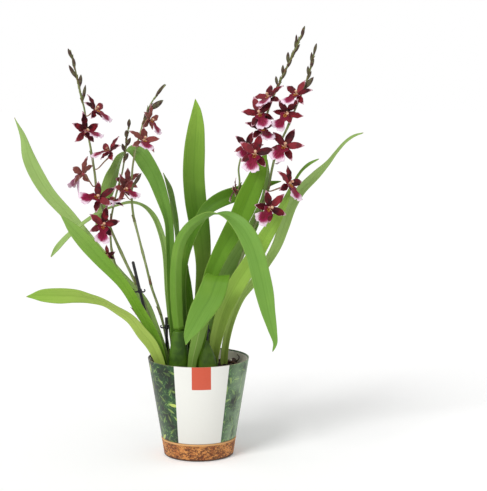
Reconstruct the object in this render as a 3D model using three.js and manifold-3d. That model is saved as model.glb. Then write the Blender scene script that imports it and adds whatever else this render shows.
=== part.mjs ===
// Potted cambria orchid: a tapered plastic pot in a printed paper sleeve with a cork-look foot
// band, filled with bark, from which strap leaves, pseudobulbs, flower spikes and stakes rise.
// Millimetres, +Z up. The origin is the middle of the pot's underside, -Y is the front.
import * as THREE from "three";
import { mergeVertices } from "three/addons/utils/BufferGeometryUtils.js";
import Module from "manifold-3d";

const wasm = await Module();
wasm.setup();

// Driving dimensions.
const POT = { height: 116, footR: 39.9, rimR: 58.9, wall: 1.5, floor: 2, sides: 40 };
const DRAIN = { count: 5, ring: 26, r: 3.5 };
const GAP = 0.35; // between neighbouring pieces
const SLEEVE = { from: 22.2, to: 117.6, wall: 0.8 };
const CORK = { from: 0.8, to: 21.7, footR: 41.5, topR: 44.8 };
const BARK = { top: 104.5, lump: 1.8, sides: 24, rings: 3 };
const SOCKET = { room: 0.8, above: 114 }; // plain hole round each stem that stands in the bark
const LEAF = { thick: 0.8, fold: 0.12, baseFold: 0.3, extraStations: 4 };
const STEM = { sides: 5, stations: 13 };
const BLOOM = {
  thick: 0.8,
  dorsal: { length: 24.5, width: 8.9, cup: 6 },
  petal: { length: 22, width: 8.6, angle: 64, cup: 9 },
  lateral: { length: 18.3, width: 7.9, angle: 128, cup: 2 },
  pedicelR: 0.75,
  whorls: 0.85, // how far the petals lie before the flower's middle, and the sepals behind it
};

const v3 = (x, y, z) => new THREE.Vector3(x, y, z);
const rad = THREE.MathUtils.degToRad;
const mix = THREE.MathUtils.lerp;

// A repeatable value from 0 to 1 for the number n.
const chance = (n) => {
  const s = Math.sin(n * 127.1 + 11.7) * 43758.5453;
  return s - Math.floor(s);
};

// Closed surfaces.

// A closed geometry from corners and triangles, turned to face out.
function closed(corners, faces) {
  let volume = 0;
  const cross = v3(0, 0, 0);
  for (const [a, b, c] of faces)
    volume += corners[a].dot(cross.crossVectors(corners[b], corners[c]));
  const out = volume < 0 ? faces.map(([a, b, c]) => [a, c, b]) : faces;
  const g = new THREE.BufferGeometry();
  const flat = corners.flatMap((p) => p.toArray());
  g.setAttribute("position", new THREE.Float32BufferAttribute(flat, 3));
  g.setIndex(out.flat());
  return g;
}

// Skins a row of rings, each a convex loop with the same number of points, and caps both ends.
function loft(rings) {
  const n = rings[0].length;
  const last = (rings.length - 1) * n;
  const faces = [];
  for (let i = 0; i < last; i += n)
    for (let j = 0; j < n; j++) {
      const k = (j + 1) % n;
      faces.push([i + j, i + k, i + n + k], [i + j, i + n + k, i + n + j]);
    }
  for (let j = 1; j < n - 1; j++) faces.push([0, j + 1, j], [last, last + j, last + j + 1]);
  return closed(rings.flat(), faces);
}

// Gives a grid of points a thickness along its normals. Both faces have the same diagonals.
function sheet(grid, normals, thick) {
  const rows = grid.length;
  const cols = grid[0].length;
  const side = (s) =>
    grid.flatMap((row, i) => row.map((p) => p.clone().addScaledVector(normals[i], s * thick)));
  const under = rows * cols;
  const at = (i, j) => i * cols + j;
  const faces = [];
  for (let i = 0; i < rows - 1; i++)
    for (let j = 0; j < cols - 1; j++)
      for (const [a, b, c] of [
        [at(i, j), at(i, j + 1), at(i + 1, j + 1)],
        [at(i, j), at(i + 1, j + 1), at(i + 1, j)],
      ])
        faces.push([a, b, c], [under + a, under + c, under + b]);
  const wall = (a, b) => faces.push([b, a, under + a], [b, under + a, under + b]);
  for (let i = 0; i < rows - 1; i++) {
    wall(at(i + 1, 0), at(i, 0));
    wall(at(i, cols - 1), at(i + 1, cols - 1));
  }
  for (let j = 0; j < cols - 1; j++) {
    wall(at(0, j), at(0, j + 1));
    wall(at(rows - 1, j + 1), at(rows - 1, j));
  }
  return closed([...side(0.5), ...side(-0.5)], faces);
}

// A profile of [radius, height] pairs turned about Z.
function turned(profile, sides) {
  const points = profile.map(([r, h]) => new THREE.Vector2(r, h));
  return new THREE.LatheGeometry(points, sides).rotateX(Math.PI / 2);
}

function solid(geometry) {
  const g = geometry.clone();
  g.deleteAttribute("normal");
  g.deleteAttribute("uv");
  const m = mergeVertices(g, 1e-4);
  const mesh = new wasm.Mesh({
    numProp: 3,
    vertProperties: m.attributes.position.array,
    triVerts: new Uint32Array(m.index.array),
  });
  const made = new wasm.Manifold(mesh);
  if (made.volume() >= 0) return made;
  for (let i = 0; i < mesh.triVerts.length; i += 3)
    [mesh.triVerts[i + 1], mesh.triVerts[i + 2]] = [mesh.triVerts[i + 2], mesh.triVerts[i + 1]];
  return new wasm.Manifold(mesh);
}

function geometryOf(manifold) {
  const { vertProperties, triVerts } = manifold.getMesh();
  const g = new THREE.BufferGeometry();
  g.setAttribute("position", new THREE.Float32BufferAttribute(vertProperties, 3));
  g.setIndex([...triVerts]);
  return g;
}

const fuse = (parts) => geometryOf(wasm.Manifold.union(parts.map(solid)));
const carve = (body, tools) =>
  geometryOf(solid(body).subtract(wasm.Manifold.union(tools.map(solid))));

// Curves.

// A smooth route through rows of [x, y, z, ...values], read at u from 0 to 1.
class Route {
  constructor(rows) {
    this.rows = rows;
    this.curve = new THREE.CatmullRomCurve3(rows.map(([x, y, z]) => v3(x, y, z)), false, "centripetal");
  }

  point(u) {
    return this.curve.getPoint(u);
  }

  tangent(u) {
    return this.curve.getTangent(u);
  }

  value(u, column) {
    const s = u * (this.rows.length - 1);
    const i = Math.min(Math.floor(s), this.rows.length - 2);
    const [a, b] = [this.rows[i][column], this.rows[i + 1][column]];
    return mix(a, b, s - i);
  }

  // The u at which a route that climbs first reaches height z.
  uAt(z) {
    for (let i = 0; i < 400; i++) if (this.point(i / 400).z >= z) return i / 400;
    return 1;
  }
}

// A round rod through rows of [x, y, z, radius].
function rod(rows, sides = STEM.sides, stations = rows.length) {
  const route = new Route(rows);
  let across = null;
  const rings = [];
  for (let i = 0; i < stations; i++) {
    const u = i / (stations - 1);
    const t = route.tangent(u);
    if (!across) across = Math.abs(t.x) < 0.8 ? v3(1, 0, 0) : v3(0, 1, 0);
    across = across.clone().addScaledVector(t, -across.dot(t)).normalize();
    const up = t.clone().cross(across);
    rings.push(
      Array.from({ length: sides }, (_, k) => {
        const a = (2 * Math.PI * k) / sides;
        return route
          .point(u)
          .addScaledVector(across, Math.cos(a) * route.value(u, 3))
          .addScaledVector(up, Math.sin(a) * route.value(u, 3));
      }),
    );
  }
  return loft(rings);
}

// Leaves: rows of [x, y, z, width, roll], where roll turns the blade about its midrib and
// 0 shows its full width to the front. The edges rise to the front, or to the back if folded -1.
const LEAVES = {
  leaf_far_left: [
    [-34, 7, 88, 9, 0], [-38, 7.5, 106, 10, 0], [-45, 10, 129, 11, 0], [-53, 14.5, 151, 11, 0],
    [-66, 22, 181, 12, 15], [-94, 27, 212, 13, 20], [-126, 34, 247, 15, 20], [-153.5, 39, 280, 15, 15],
    [-180.5, 43, 309, 16, 0], [-194.8, 46, 331, 17.5, 0], [-204.3, 48, 352, 16, 10],
    [-210.8, 49, 378, 11, 45], [-221.5, 50, 400, 1.6, 60],
  ],
  leaf_left: [
    [-40, -6, 88, 10, 0], [-42, -7, 108, 11, 0], [-48, -9.5, 134, 12, 0], [-57, -12, 156, 12, 0],
    [-71, -15, 181, 12, 5], [-87, -17, 208, 13, 5], [-113, -20, 238, 17, 0],
    [-130, -22, 258, 18.5, 0], [-145, -24, 275, 13, 0], [-159, -25, 291, 1.6, 0],
  ],
  leaf_low_left: [
    [-42, -14, 88, 10, 0], [-44, -15, 110, 11, 0], [-54, -17, 135, 14, 0], [-65, -20, 150, 14, 0],
    [-78, -25, 168, 12, 15], [-94, -30, 180.5, 12, 35], [-109, -35, 190.3, 13, 40],
    [-125, -40, 195.8, 14, 30], [-141, -45, 199, 16, 5], [-160, -50, 200, 18, 0],
    [-179, -54, 201, 14, 0], [-196, -57, 200, 1.6, 0],
  ],
  leaf_arching: [
    [-24, 9, 88, 9, 0], [-25, 9, 110, 10, 0], [-28.5, 10, 149, 11, 0], [-32, 11, 197, 11, 0],
    [-34.4, 12, 245, 11, -25], [-36, 14, 279, 11.5, -30], [-44, 16, 310, 15.5, -10],
    [-51, 17, 330, 18, 0], [-62, 19, 349, 20, -5], [-71, 22, 360, 20, -30],
    [-82, 27, 363, 17, -75], [-92, 31, 355, 16, -110], [-99, 34, 341, 16, -130],
    [-105, 37, 327, 17, -155], [-110, 39, 312, 17, -160], [-118, 41, 292, 14, -170],
    [-125, 42, 264, 1.6, -180],
  ],
  leaf_thin_arch: [
    [-28, 18, 88, 8, 0], [-28, 18, 108, 8, 0], [-32, 18, 147, 8, 0], [-36.5, 18, 196, 8.2, 0],
    [-39.5, 19, 240, 7.6, -5], [-45.5, 20, 266, 7, -15], [-54.5, 23, 285, 7, -45],
    [-66, 24, 296, 7, -65], [-80, 24, 300, 7.4, -75], [-98, 24, 296, 8.4, -80],
    [-116, 24, 289, 9, -75], [-132, 24, 279, 9, -65], [-148, 21, 267, 8.5, -60],
    [-160, 18, 256, 8, -40], [-170, 16, 245, 6, -10], [-176, 14, 236, 1.6, 0],
  ],
  leaf_back_thin: [
    [-18, 24, 88, 8, 0], [-18, 24, 108, 8.5, 0], [-19, 26, 158, 8.5, 0], [-22.5, 30, 212, 8, -30],
    [-26.2, 34, 254, 9, -55], [-29.6, 38, 284, 9, -50], [-35.4, 42, 314, 8, -45],
    [-43, 45, 334, 1.6, -60],
  ],
  leaf_upright: [
    [0, 34, 88, 10, 0], [0, 34, 107, 11, 0], [0, 35, 144, 13.5, 0], [3, 36, 187, 16, 0],
    [5, 37, 223, 17.5, 0], [3.5, 38, 250, 21.5, 0], [0, 39, 276, 25, 0], [-4, 40, 303, 26, 0],
    [-6, 41, 332, 26, 0], [-5, 42, 362, 25, 0], [-3, 43, 390, 19.5, 0], [-2.5, 44, 409, 11, 0],
    [-4, 45, 423, 1.6, 0],
  ],
  leaf_inner_arch: [
    [-14, 3, 88, 9, 0], [-14, 3, 108, 9.5, 0], [-17, 3, 149, 11, 0], [-19, 5, 185, 10.5, 20],
    [-17, 10, 226, 11.5, 35], [-10, 12, 254, 13, 35], [0, 14, 277, 13.5, 30],
    [12, 18, 294, 16, 20], [28, 22, 304.5, 18.5, 10], [46, 26, 311, 17.5, 0], [66, 30, 317, 13, 0],
    [84, 33, 322, 7, 0], [99, 34, 325, 1.6, 0],
  ],
  leaf_short: [
    [-9, 16, 88, 9, 0], [-9, 16, 108, 9.5, 0], [-9.5, 17, 147, 11, 0], [-11, 18, 180, 10, 0],
    [-13, 19, 204, 8, 0], [-13.5, 20, 226, 1.6, 0],
  ],
  leaf_front_arch: [
    [-23, -14, 153, 12, 0], [-25, -14, 177, 13.5, 0], [-26, -15, 207, 14, 0],
    [-25, -16, 234, 13, 0], [-20, -18, 258, 13, -5], [-11, -20, 273, 13, -15],
    [3, -24, 285, 13.5, -40], [18, -28, 292, 14, -70], [34, -34, 291, 16.5, -115],
    [49, -40, 281, 19, -155], [61, -46, 264, 22, -175], [68, -50, 246, 22, -180],
    [73, -54, 226, 22, -180], [78, -58, 204, 21, -180], [82, -62, 184, 16.5, -180],
    [87, -66, 163, 10.5, -180], [90, -69, 148, 5, -180], [87, -71, 138, 1.6, -180],
  ],
  leaf_broad_right: [
    [1, -8, 88, 10, 0], [1, -8, 111, 11, 0], [3, -8, 146, 14, 0], [8, -7, 184, 16.5, 0],
    [15, -6, 216, 17, 0], [25, -5, 240, 19, 0], [38, -4, 264, 22.5, 0], [50, -2, 287, 24.5, 0],
    [59, 0, 308, 26, 0], [68, 2, 329, 22, 0], [75, 5, 348, 14, 0], [81, 7, 362, 1.6, 0],
  ],
  leaf_narrow_right: [
    [9, 2, 88, 8, 0], [9, 2, 111, 9.5, 0], [13, 8, 156, 13, 0], [20, 13, 188, 16.5, 0],
    [34, 16, 221, 19, 0], [50, 17, 247, 18, 10], [64, 18, 269, 15, 35], [74, 19, 291, 14, 55],
    [81, 20, 313, 13, 65], [84, 20, 333, 11, 70], [82, 19, 352, 1.6, 70],
  ],
  leaf_young: [
    [17, -2, 88, 9, 0], [17, -2, 109, 11, 0], [22, -3, 145, 15.5, 0], [32, -3, 178, 19, 0],
    [47, -3, 208, 21, 0], [63, -3, 233, 20, 0], [78, -3, 260, 17.5, 0], [91, -2, 281, 14, 5],
    [102, 3, 301, 9, 25], [111, 8, 320, 5.5, 45], [121, 10, 337.5, 4, 55], [131, 11, 347, 4.6, 50],
    [143, 12, 353.5, 1.6, 40],
  ],
  leaf_far_right: [
    [28, 13, 88, 8, 0], [30, 14, 108, 8.5, 0], [33, 15, 135, 8.5, 0], [41, 17, 164, 8.5, 0],
    [51, 19, 186, 8.5, 0], [64, 22, 202, 9, 15], [81, 26, 226, 10, 10], [94, 29, 249, 12, 0],
    [102, 32, 271, 13.5, 0], [111, 35, 295, 13, 0], [122, 38, 313, 12, 0], [141, 42, 332, 10.5, 0],
    [156, 45, 347, 5.8, 0], [166, 46, 360, 4, 0], [176, 48, 371, 3.6, 0], [186, 50, 378, 3, 0],
    [198, 51, 382, 1.6, 0],
  ],
  leaf_front_droop: [
    [-7, -25, 88, 9, -90], [-7, -26, 114, 10, -90], [-2, -26, 137, 14, -90],
    [4, -25, 161, 15.5, -90], [12, -24, 187, 16.5, -90], [20, -24, 208, 20, -90],
    [25, -29, 220, 26, -90], [22, -37, 215, 30, -90], [15, -44, 197, 32, -90],
    [5, -49, 181, 28, -90], [-4, -53, 165, 20, -90], [-10, -55, 154, 11, -90],
    [-13, -56, 143, 1.6, -90],
  ],
};
// A leaf that bends straight to the front is measured against X, the others against Y.
const ROLL_AXIS = { leaf_front_droop: v3(1, 0, 0) };
const FOLDED = { leaf_front_arch: -1, leaf_front_droop: -0.4 };

// The blade's middle, its direction across and its normal at u.
function bladeFrame(name, route, u) {
  const t = route.tangent(u);
  const side = (ROLL_AXIS[name] ?? v3(0, 1, 0)).clone().cross(t).normalize();
  const normal = side.clone().cross(t);
  const roll = rad(route.value(u, 4));
  const across = side.clone().multiplyScalar(Math.cos(roll)).addScaledVector(normal, Math.sin(roll));
  normal.multiplyScalar(Math.cos(roll)).addScaledVector(side, -Math.sin(roll));
  const fold = mix(LEAF.baseFold, LEAF.fold, Math.min(1, u * 2.5)) * (FOLDED[name] ?? 1);
  return { middle: route.point(u), across, normal, width: route.value(u, 3), fold };
}

function leaf(name, rows) {
  const route = new Route(rows);
  const grid = [];
  const normals = [];
  const steps = rows.length + LEAF.extraStations - 1;
  for (let i = 0; i <= steps; i++) {
    const f = bladeFrame(name, route, i / steps);
    const edge = (s) =>
      f.middle
        .clone()
        .addScaledVector(f.across, (s * f.width) / 2)
        .addScaledVector(f.normal, f.fold * f.width);
    grid.push([edge(-1), f.middle, edge(1)]);
    normals.push(f.normal);
  }
  return sheet(grid, normals, LEAF.thick);
}

// The hole in the bark for a leaf's folded foot.
function leafSocket(name, rows) {
  const route = new Route(rows);
  const foot = v3(...rows[0]);
  const way = v3(...rows[1]).sub(foot).normalize();
  const f = bladeFrame(name, route, 0);
  const deep = Math.abs(f.fold) * f.width;
  const half = [rows[1][3] / 2 + SOCKET.room, deep / 2 + LEAF.thick / 2 + SOCKET.room];
  const shift = (Math.sign(f.fold) * deep) / 2;
  const ring = (s) =>
    [[-1, -1], [1, -1], [1, 1], [-1, 1]].map(([a, b]) =>
      foot
        .clone()
        .addScaledVector(way, s)
        .addScaledVector(f.across, a * half[0])
        .addScaledVector(f.normal, shift + b * half[1]),
    );
  return loft([ring(-SOCKET.room), ring((SOCKET.above - foot.z) / way.z)]);
}

// Flower spikes: rows of [x, y, z, radius]
const SPIKES = {
  spike_left: [
    [-46, 4.3, 86, 1.9], [-47.5, 3.8, 108, 1.9], [-52, 3.6, 131, 1.9], [-58.5, 3, 164, 1.8],
    [-68, 1.5, 192, 1.8], [-88, -1, 237, 1.7], [-105, -2, 277, 1.6], [-118, -2, 314, 1.5],
    [-121, -2, 338, 1.4], [-125, -2, 365, 1.3], [-129, -2, 388, 1.2], [-132, -2, 412, 1.1],
    [-136, -3, 429, 1], [-142, -5, 460, 0.9], [-147, -6, 481, 0.8],
  ],
  spike_middle: [
    [-34, 24, 86, 1.7], [-35, 23, 108, 1.7], [-40, 20, 140, 1.6], [-47, 14, 172, 1.6],
    [-56, 8, 201, 1.5], [-62, 5, 227, 1.5], [-70, 1, 261, 1.4], [-77, 0, 294, 1.4],
    [-77, 1, 341, 1.2], [-73, 3, 364, 1.1], [-67, 4, 386, 1], [-61, 4, 405, 1],
    [-52, 3, 423, 0.9], [-37, 0, 441, 0.8],
  ],
  spike_short: [
    [-44, 19, 88, 1.6], [-46, 18, 109, 1.6], [-63, 16, 147, 1.5], [-85, 14, 188, 1.4],
    [-97, 12, 221, 1.3], [-103, 10, 245, 1.3], [-104, 9, 275, 1.2], [-100, 9, 299, 1.2],
    [-95, 9, 319, 1.1], [-89, 9, 340, 1], [-83, 7, 382, 0.9], [-80, 6, 397, 0.8],
  ],
  spike_right: [
    [11, 18, 86, 1.9], [11, 18, 108, 1.9], [12, 20, 134, 1.9], [18, 24, 183, 1.8],
    [30, 26, 226, 1.8], [42, 20, 262, 1.7], [53, 14, 298, 1.6], [61, 12, 330, 1.5],
    [68, 12, 358, 1.4], [76, 12, 387, 1.4], [83, 12, 411, 1.3], [93, 9, 437, 1.1],
    [108, 3, 469, 1], [116, 0, 487, 0.9], [124, -3, 506, 0.8],
  ],
  spike_far_right: [
    [22, 12, 86, 1.9], [22, 12, 109, 1.9], [22, 11, 136, 1.9], [29, 7, 172, 1.8],
    [43, 6, 213, 1.8], [57, 6, 250, 1.7], [71, 7, 286, 1.6], [82, 7, 316, 1.5],
    [88, 6, 345, 1.5], [93, 4, 364, 1.4], [106, 0, 393, 1.3], [120, -2, 427, 1.1],
    [126, -3, 441, 1], [137, -5, 484, 0.8],
  ],
  spike_back: [
    [-4, 23, 86, 1.7], [-4, 22, 108, 1.7], [1, 23, 140, 1.6], [11, 26, 182, 1.6],
    [23, 24, 228, 1.5], [36, 19, 270, 1.4], [46, 16, 303, 1.3], [49, 16, 325, 1.2],
    [48, 17, 342, 1.1], [53, 20, 361, 1], [64, 20, 383, 0.8],
  ],
};

// Buds as [foot x, foot z, tip x, tip z], and the fullness of each bud.
const BUDS = {
  spike_left: [
    [-146, 469, -151, 484, 1.9], [-142, 458, -144, 473, 2.1], [-140, 446, -149, 464, 2.3],
    [-136, 436, -135, 453, 2.3], [-134, 420, -130, 441, 2],
  ],
  spike_middle: [[-51, 424, -38, 442, 2], [-57, 410, -40, 423, 3.4], [-62, 395, -53, 414, 3.6],
    [-76, 320, -66, 338, 2.2]],
  spike_short: [
    [-81, 389, -80, 401, 2.2], [-83, 376, -84, 388, 2.4], [-84, 367, -79, 379, 2.3],
    [-86, 360, -89, 372, 2.2], [-87, 349, -82, 361, 2.2],
  ],
  spike_right: [
    [122, 498, 125, 509, 1.5], [119, 490, 121, 500, 1.6], [113, 481, 111, 493, 1.8],
    [112, 474, 116, 485, 1.8], [107, 464, 103, 477, 1.9], [103, 456, 108, 468, 1.9],
    [98, 447, 96, 460, 2.1], [92, 434, 89, 449, 2.3],
  ],
  spike_far_right: [
    [135, 476, 138, 489, 1.7], [132, 462, 136, 475, 1.9], [129, 450, 126, 463, 2],
    [126, 442, 131, 455, 2.1], [122, 432, 135, 450, 2.9],
  ],
};

// A bud swells from a thin foot inside the stem and closes to a blunt point.
function bud([x, z, tipX, tipZ, r], route) {
  const foot = route.point(route.uAt(z));
  const tip = v3(tipX, foot.y - 2, tipZ);
  const row = (s, k) => [...foot.clone().lerp(tip, s).toArray(), r * k];
  foot.x = mix(foot.x, x, 0.3);
  return rod([row(0, 0.35), row(0.3, 0.9), row(0.65, 0.95), row(1, 0.25)], 4);
}

function spike(name) {
  const route = new Route(SPIKES[name]);
  const stem = rod(SPIKES[name], STEM.sides, STEM.stations);
  return fuse([stem, ...(BUDS[name] ?? []).map((b) => bud(b, route))]);
}

// Blooms: middle [x, y, z], turn to the right, tilt up, roll clockwise, size, and the
// spike that bears it with the height of the foot of its stalk, then the swing of its lip.
const BLOOMS = {
  bloom_left_1: [[-119, -10, 411], 62, 32, 5, 0.9, "spike_left", 404],
  bloom_left_2: [[-131, -15, 386.5], 47, 10, 3, 1, "spike_left", 380, 42],
  bloom_left_3: [[-102, -10, 363], -52, 36, 0, 0.9, "spike_left", 342, 15],
  bloom_left_4: [[-134, -8, 337], -125, 20, 0, 0.92, "spike_left", 322],
  bloom_left_5: [[-115, -16, 309], -20, 32, 52, 0.98, "spike_left", 303, 20],
  bloom_left_6: [[-111, -17, 278], 20, 10, 15, 0.94, "spike_left", 272],
  bloom_left_7: [[-106, -4, 241.5], -20, -20, 0, 0.55, "spike_short", 236],
  bloom_middle_1: [[-56.5, -5, 399.5], 62, 0, 10, 0.82, "spike_middle", 380, 16],
  bloom_middle_2: [[-62, -21, 375.5], 33, 45, 22, 0.95, "spike_middle", 368],
  bloom_middle_3: [[-83, 16, 325], -150, 20, 10, 0.8, "spike_middle", 314],
  bloom_middle_4: [[-86, -15.5, 319], 50, 10, -10, 0.82, "spike_middle", 306, 30],
  bloom_middle_5: [[-98.5, -8, 303.5], 12, 72, 0, 0.72, "spike_short", 297],
  bloom_right_1: [[84, -3, 425], -45, 45, -30, 1, "spike_right", 412],
  bloom_right_2: [[72.5, -5, 406.5], -5, 25, -20, 0.96, "spike_right", 397],
  bloom_right_3: [[74, 0, 388], 25, 40, 0, 0.95, "spike_right", 372],
  bloom_right_4: [[58, 4, 367.5], 5, 30, 20, 0.88, "spike_back", 360],
  bloom_right_5: [[67.5, -21, 361], -5, 20, 12, 1.05, "spike_right", 346],
  bloom_right_6: [[45, 5.5, 317], -100, 0, 0, 0.6, "spike_back", 308],
  bloom_far_right_1: [[116, -14, 429], -30, 40, 8, 0.91, "spike_far_right", 418],
  bloom_far_right_2: [[104, -15, 410], -5, -25, 38, 0.9, "spike_far_right", 402],
  bloom_far_right_3: [[102, -12.5, 369], -5, 28, 25, 1.04, "spike_far_right", 360],
  bloom_far_right_4: [[106, -13, 325], 50, 23, 22, 1.02, "spike_far_right", 316],
  bloom_far_right_5: [[83.5, -22, 299], 20, 0, 50, 1, "spike_far_right", 306],
};

// A sepal or petal at an angle from up, on the bloom's own axes: x right, y up, z to the front.
// It leaves the hub at height from, curves to the front by cup degrees and has a waved edge.
function petal({ length, width, cup }, angle, from) {
  const out = v3(Math.sin(rad(angle)), Math.cos(rad(angle)), 0);
  const across = v3(out.y, -out.x, 0);
  const rows = [[0.06, 0.26], [0.42, 1], [0.76, 0.72], [1, 0.12]];
  const grid = rows.map(([s, w], i) => {
    const lift = from + length * s * Math.sin(rad(cup)) + 0.8 * Math.sin(Math.PI * s);
    const wave = i % 2 ? 0.3 : -0.3;
    const edge = (k) =>
      out
        .clone()
        .multiplyScalar(length * s)
        .addScaledVector(across, (k * w * width) / 2)
        .setZ(lift + wave * k);
    return [edge(-1), edge(1)];
  });
  return sheet(grid, rows.map(() => v3(0, 0, 1)), BLOOM.thick);
}

// The fiddle-shaped lip: shoulders, a waist and a wide ruffled blade.
function lip() {
  const rows = [[-0.5, 1.2, 5.4], [-4.6, 4.4, 14], [-10, 7.6, 8.2], [-18, 11, 19], [-24, 11.4, 10]];
  const across = v3(1, 0, 0);
  const route = new Route(rows.map(([y, z]) => [0, y, z]));
  const normals = rows.map((_, i) => route.tangent(i / (rows.length - 1)).cross(across).negate());
  const grid = rows.map(([y, z, w], i) => {
    const edge = (k) =>
      v3((k * w) / 2, y, z).addScaledVector(normals[i], i === 3 ? 0.9 * k - 1.4 : -1);
    return [edge(-1), v3(0, y, z), edge(1)];
  });
  return sheet(grid, normals, BLOOM.thick);
}

function bloom([middle, turn, tilt, roll, size, bearer, foot, swing = 0]) {
  const place = new THREE.Matrix4()
    .makeTranslation(...middle)
    .multiply(new THREE.Matrix4().makeRotationZ(rad(turn)))
    .multiply(new THREE.Matrix4().makeRotationX(rad(90 - tilt)))
    .multiply(new THREE.Matrix4().makeRotationZ(rad(-roll)))
    .multiply(new THREE.Matrix4().makeScale(size, size, size));
  const { dorsal, petal: side, lateral, whorls } = BLOOM;
  const parts = [
    petal(dorsal, 0, -whorls),
    petal(side, side.angle, whorls),
    petal(side, -side.angle, whorls),
    petal(lateral, lateral.angle, -whorls),
    petal(lateral, -lateral.angle, -whorls),
    lip().rotateX(rad(-swing)),
    rod([[0, -0.4, -2, 3.2], [0, 1.4, 7, 1.3]], 4),
  ].map((g) => g.applyMatrix4(place));
  // The stalk leaves the stem square to it and ends in the back of the bloom.
  const route = new Route(SPIKES[bearer]);
  const u = route.uAt(foot);
  const step = Math.min(Math.floor(u * (STEM.stations - 1)), STEM.stations - 2);
  const [low, high] = [step, step + 1].map((i) => route.point(i / (STEM.stations - 1)));
  const at = low.clone().lerp(high, u * (STEM.stations - 1) - step);
  const along = high.sub(low).normalize();
  const back = v3(0, 0, -4).applyMatrix4(place);
  const off = back.clone().sub(at);
  off.addScaledVector(along, -off.dot(along)).normalize();
  const start = at.clone().addScaledVector(off, 0.9 * route.value(u, 3) + GAP);
  const bend = start.clone().addScaledVector(off, 2.5);
  const end = v3(0, 0, 0.5).applyMatrix4(place);
  const stalk = [start, bend, back, end].map((p, i) => [...p.toArray(), BLOOM.pedicelR + 0.1 * i]);
  return fuse([...parts, rod(stalk, 4)]);
}

// Pot, sleeve, band and bark.

const potR = (z) => mix(POT.footR, POT.rimR, z / POT.height);

function pot() {
  const inner = (z) => potR(z) - POT.wall;
  const body = turned(
    [[0, 0], [potR(0), 0], [potR(POT.height), POT.height], [inner(POT.height), POT.height],
      [inner(POT.floor), POT.floor], [0, POT.floor]],
    POT.sides,
  );
  const drains = Array.from({ length: DRAIN.count }, (_, i) => {
    const a = (2 * Math.PI * i) / DRAIN.count;
    return new THREE.CylinderGeometry(DRAIN.r, DRAIN.r, 8, 12)
      .rotateX(Math.PI / 2)
      .translate(DRAIN.ring * Math.cos(a), DRAIN.ring * Math.sin(a), 1);
  });
  return carve(body, drains);
}

// A thin band round the pot between two heights, with its own outer radii.
function band(from, to, lowR, highR) {
  const profile = [[lowR, from], [highR, to], [potR(to) + GAP, to], [potR(from) + GAP, from]];
  return turned([...profile, profile[0]], POT.sides);
}

const sleeve = () => {
  const outer = (z) => potR(z) + GAP + SLEEVE.wall;
  return band(SLEEVE.from, SLEEVE.to, outer(SLEEVE.from), outer(SLEEVE.to));
};

const cork = () => band(CORK.from, CORK.to, CORK.footR, CORK.topR);

// Chips of bark to just under the rim, as one body with a lumpy top.
function barkBody() {
  const inner = (z) => potR(z) - POT.wall - GAP;
  const ring = (k) => {
    const share = k / BARK.rings;
    return Array.from({ length: BARK.sides }, (_, j) => {
      const a = (2 * Math.PI * j) / BARK.sides;
      const jolt = k === BARK.rings ? 0 : BARK.lump * (2 * chance(k * 61 + j) - 1);
      const z = BARK.top + jolt - (k === BARK.rings ? 2 : 0);
      const r = k === BARK.rings ? inner(z) : share * inner(BARK.top);
      return v3(r * Math.cos(a), r * Math.sin(a), z);
    });
  };
  const low = POT.floor + GAP;
  const foot = ring(BARK.rings).map((p) => {
    const r = inner(low) / Math.hypot(p.x, p.y);
    return v3(p.x * r, p.y * r, low);
  });
  const rings = [foot];
  for (let k = BARK.rings; k > 0; k--) rings.push(ring(k));
  return loft(rings);
}

// Pseudobulbs: rows of [x, y, z, half width, half depth]
const BULBS = {
  pseudobulb_left: [
    [-22.5, -14, 86, 11.6, 8.5], [-22.5, -14, 106, 12.4, 8.9], [-22.7, -14, 128, 11, 7.8],
    [-23, -14, 145, 8, 5.4], [-23, -14, 152.6, 6.8, 4.2],
  ],
  pseudobulb_right: [
    [11.5, -23, 84, 8.2, 7], [11.5, -23, 96, 10.6, 8.6], [11.5, -23, 110, 11.2, 8.8],
    [11.3, -23, 122, 9, 6.8], [11, -23, 134, 4.6, 3.6], [10.6, -22.5, 143, 1.2, 1],
  ],
};

function bulb(rows, grow = 0, sides = 10) {
  return loft(
    rows.map(([x, y, z, a, b]) =>
      Array.from({ length: sides }, (_, k) => {
        const t = (2 * Math.PI * k) / sides;
        return v3(x + (a + grow) * Math.cos(t), y + (b + grow) * Math.sin(t), z);
      }),
    ),
  );
}

function bulbSocket(rows) {
  const [x, y, , a, b] = rows.reduce((best, row) => (row[3] > best[3] ? row : best));
  return bulb([[x, y, rows[0][2] - SOCKET.room, a, b], [x, y, SOCKET.above, a, b]], SOCKET.room);
}

// Support stakes: foot, top, and the clip arm's height with its reach to left and right
const STAKES = {
  stake_left: [[-44, -1.5, 88], [-77, -6, 234], 198, -8, 6],
  stake_short: [[-38.5, 15.5, 88], [-38.5, 9.5, 164], 152, -7, 4],
  stake_middle: [[-4, 41, 88], [-1.5, 46, 226], 150, -3, 3],
  stake_front: [[8.2, -6, 88], [11, -4.8, 158], 150, -3, 3],
};
const STAKE_R = 1.8;

function stake([foot, top, clipZ, left, right]) {
  const at = v3(...foot).lerp(v3(...top), (clipZ - foot[2]) / (top[2] - foot[2]));
  const hook = (reach) => [
    [at.x, at.y, clipZ, 1.1],
    [at.x + reach * 0.7, at.y - 0.8, clipZ - 0.6, 1.1],
    [at.x + reach, at.y - 0.8, clipZ + 1.6, 0.8],
  ];
  return fuse([
    rod([[...foot, STAKE_R], [...top, STAKE_R]], 6),
    rod(hook(left), 4),
    rod(hook(right), 4),
  ]);
}

const rodSocket = ([foot, above]) => {
  const way = v3(...above).sub(v3(...foot)).normalize();
  const end = (s) => v3(...foot).addScaledVector(way, s).toArray();
  const r = (foot[3] ?? STAKE_R) + SOCKET.room;
  return rod([[...end(-SOCKET.room), r], [...end((SOCKET.above - foot[2]) / way.z), r]], 6);
};

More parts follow.
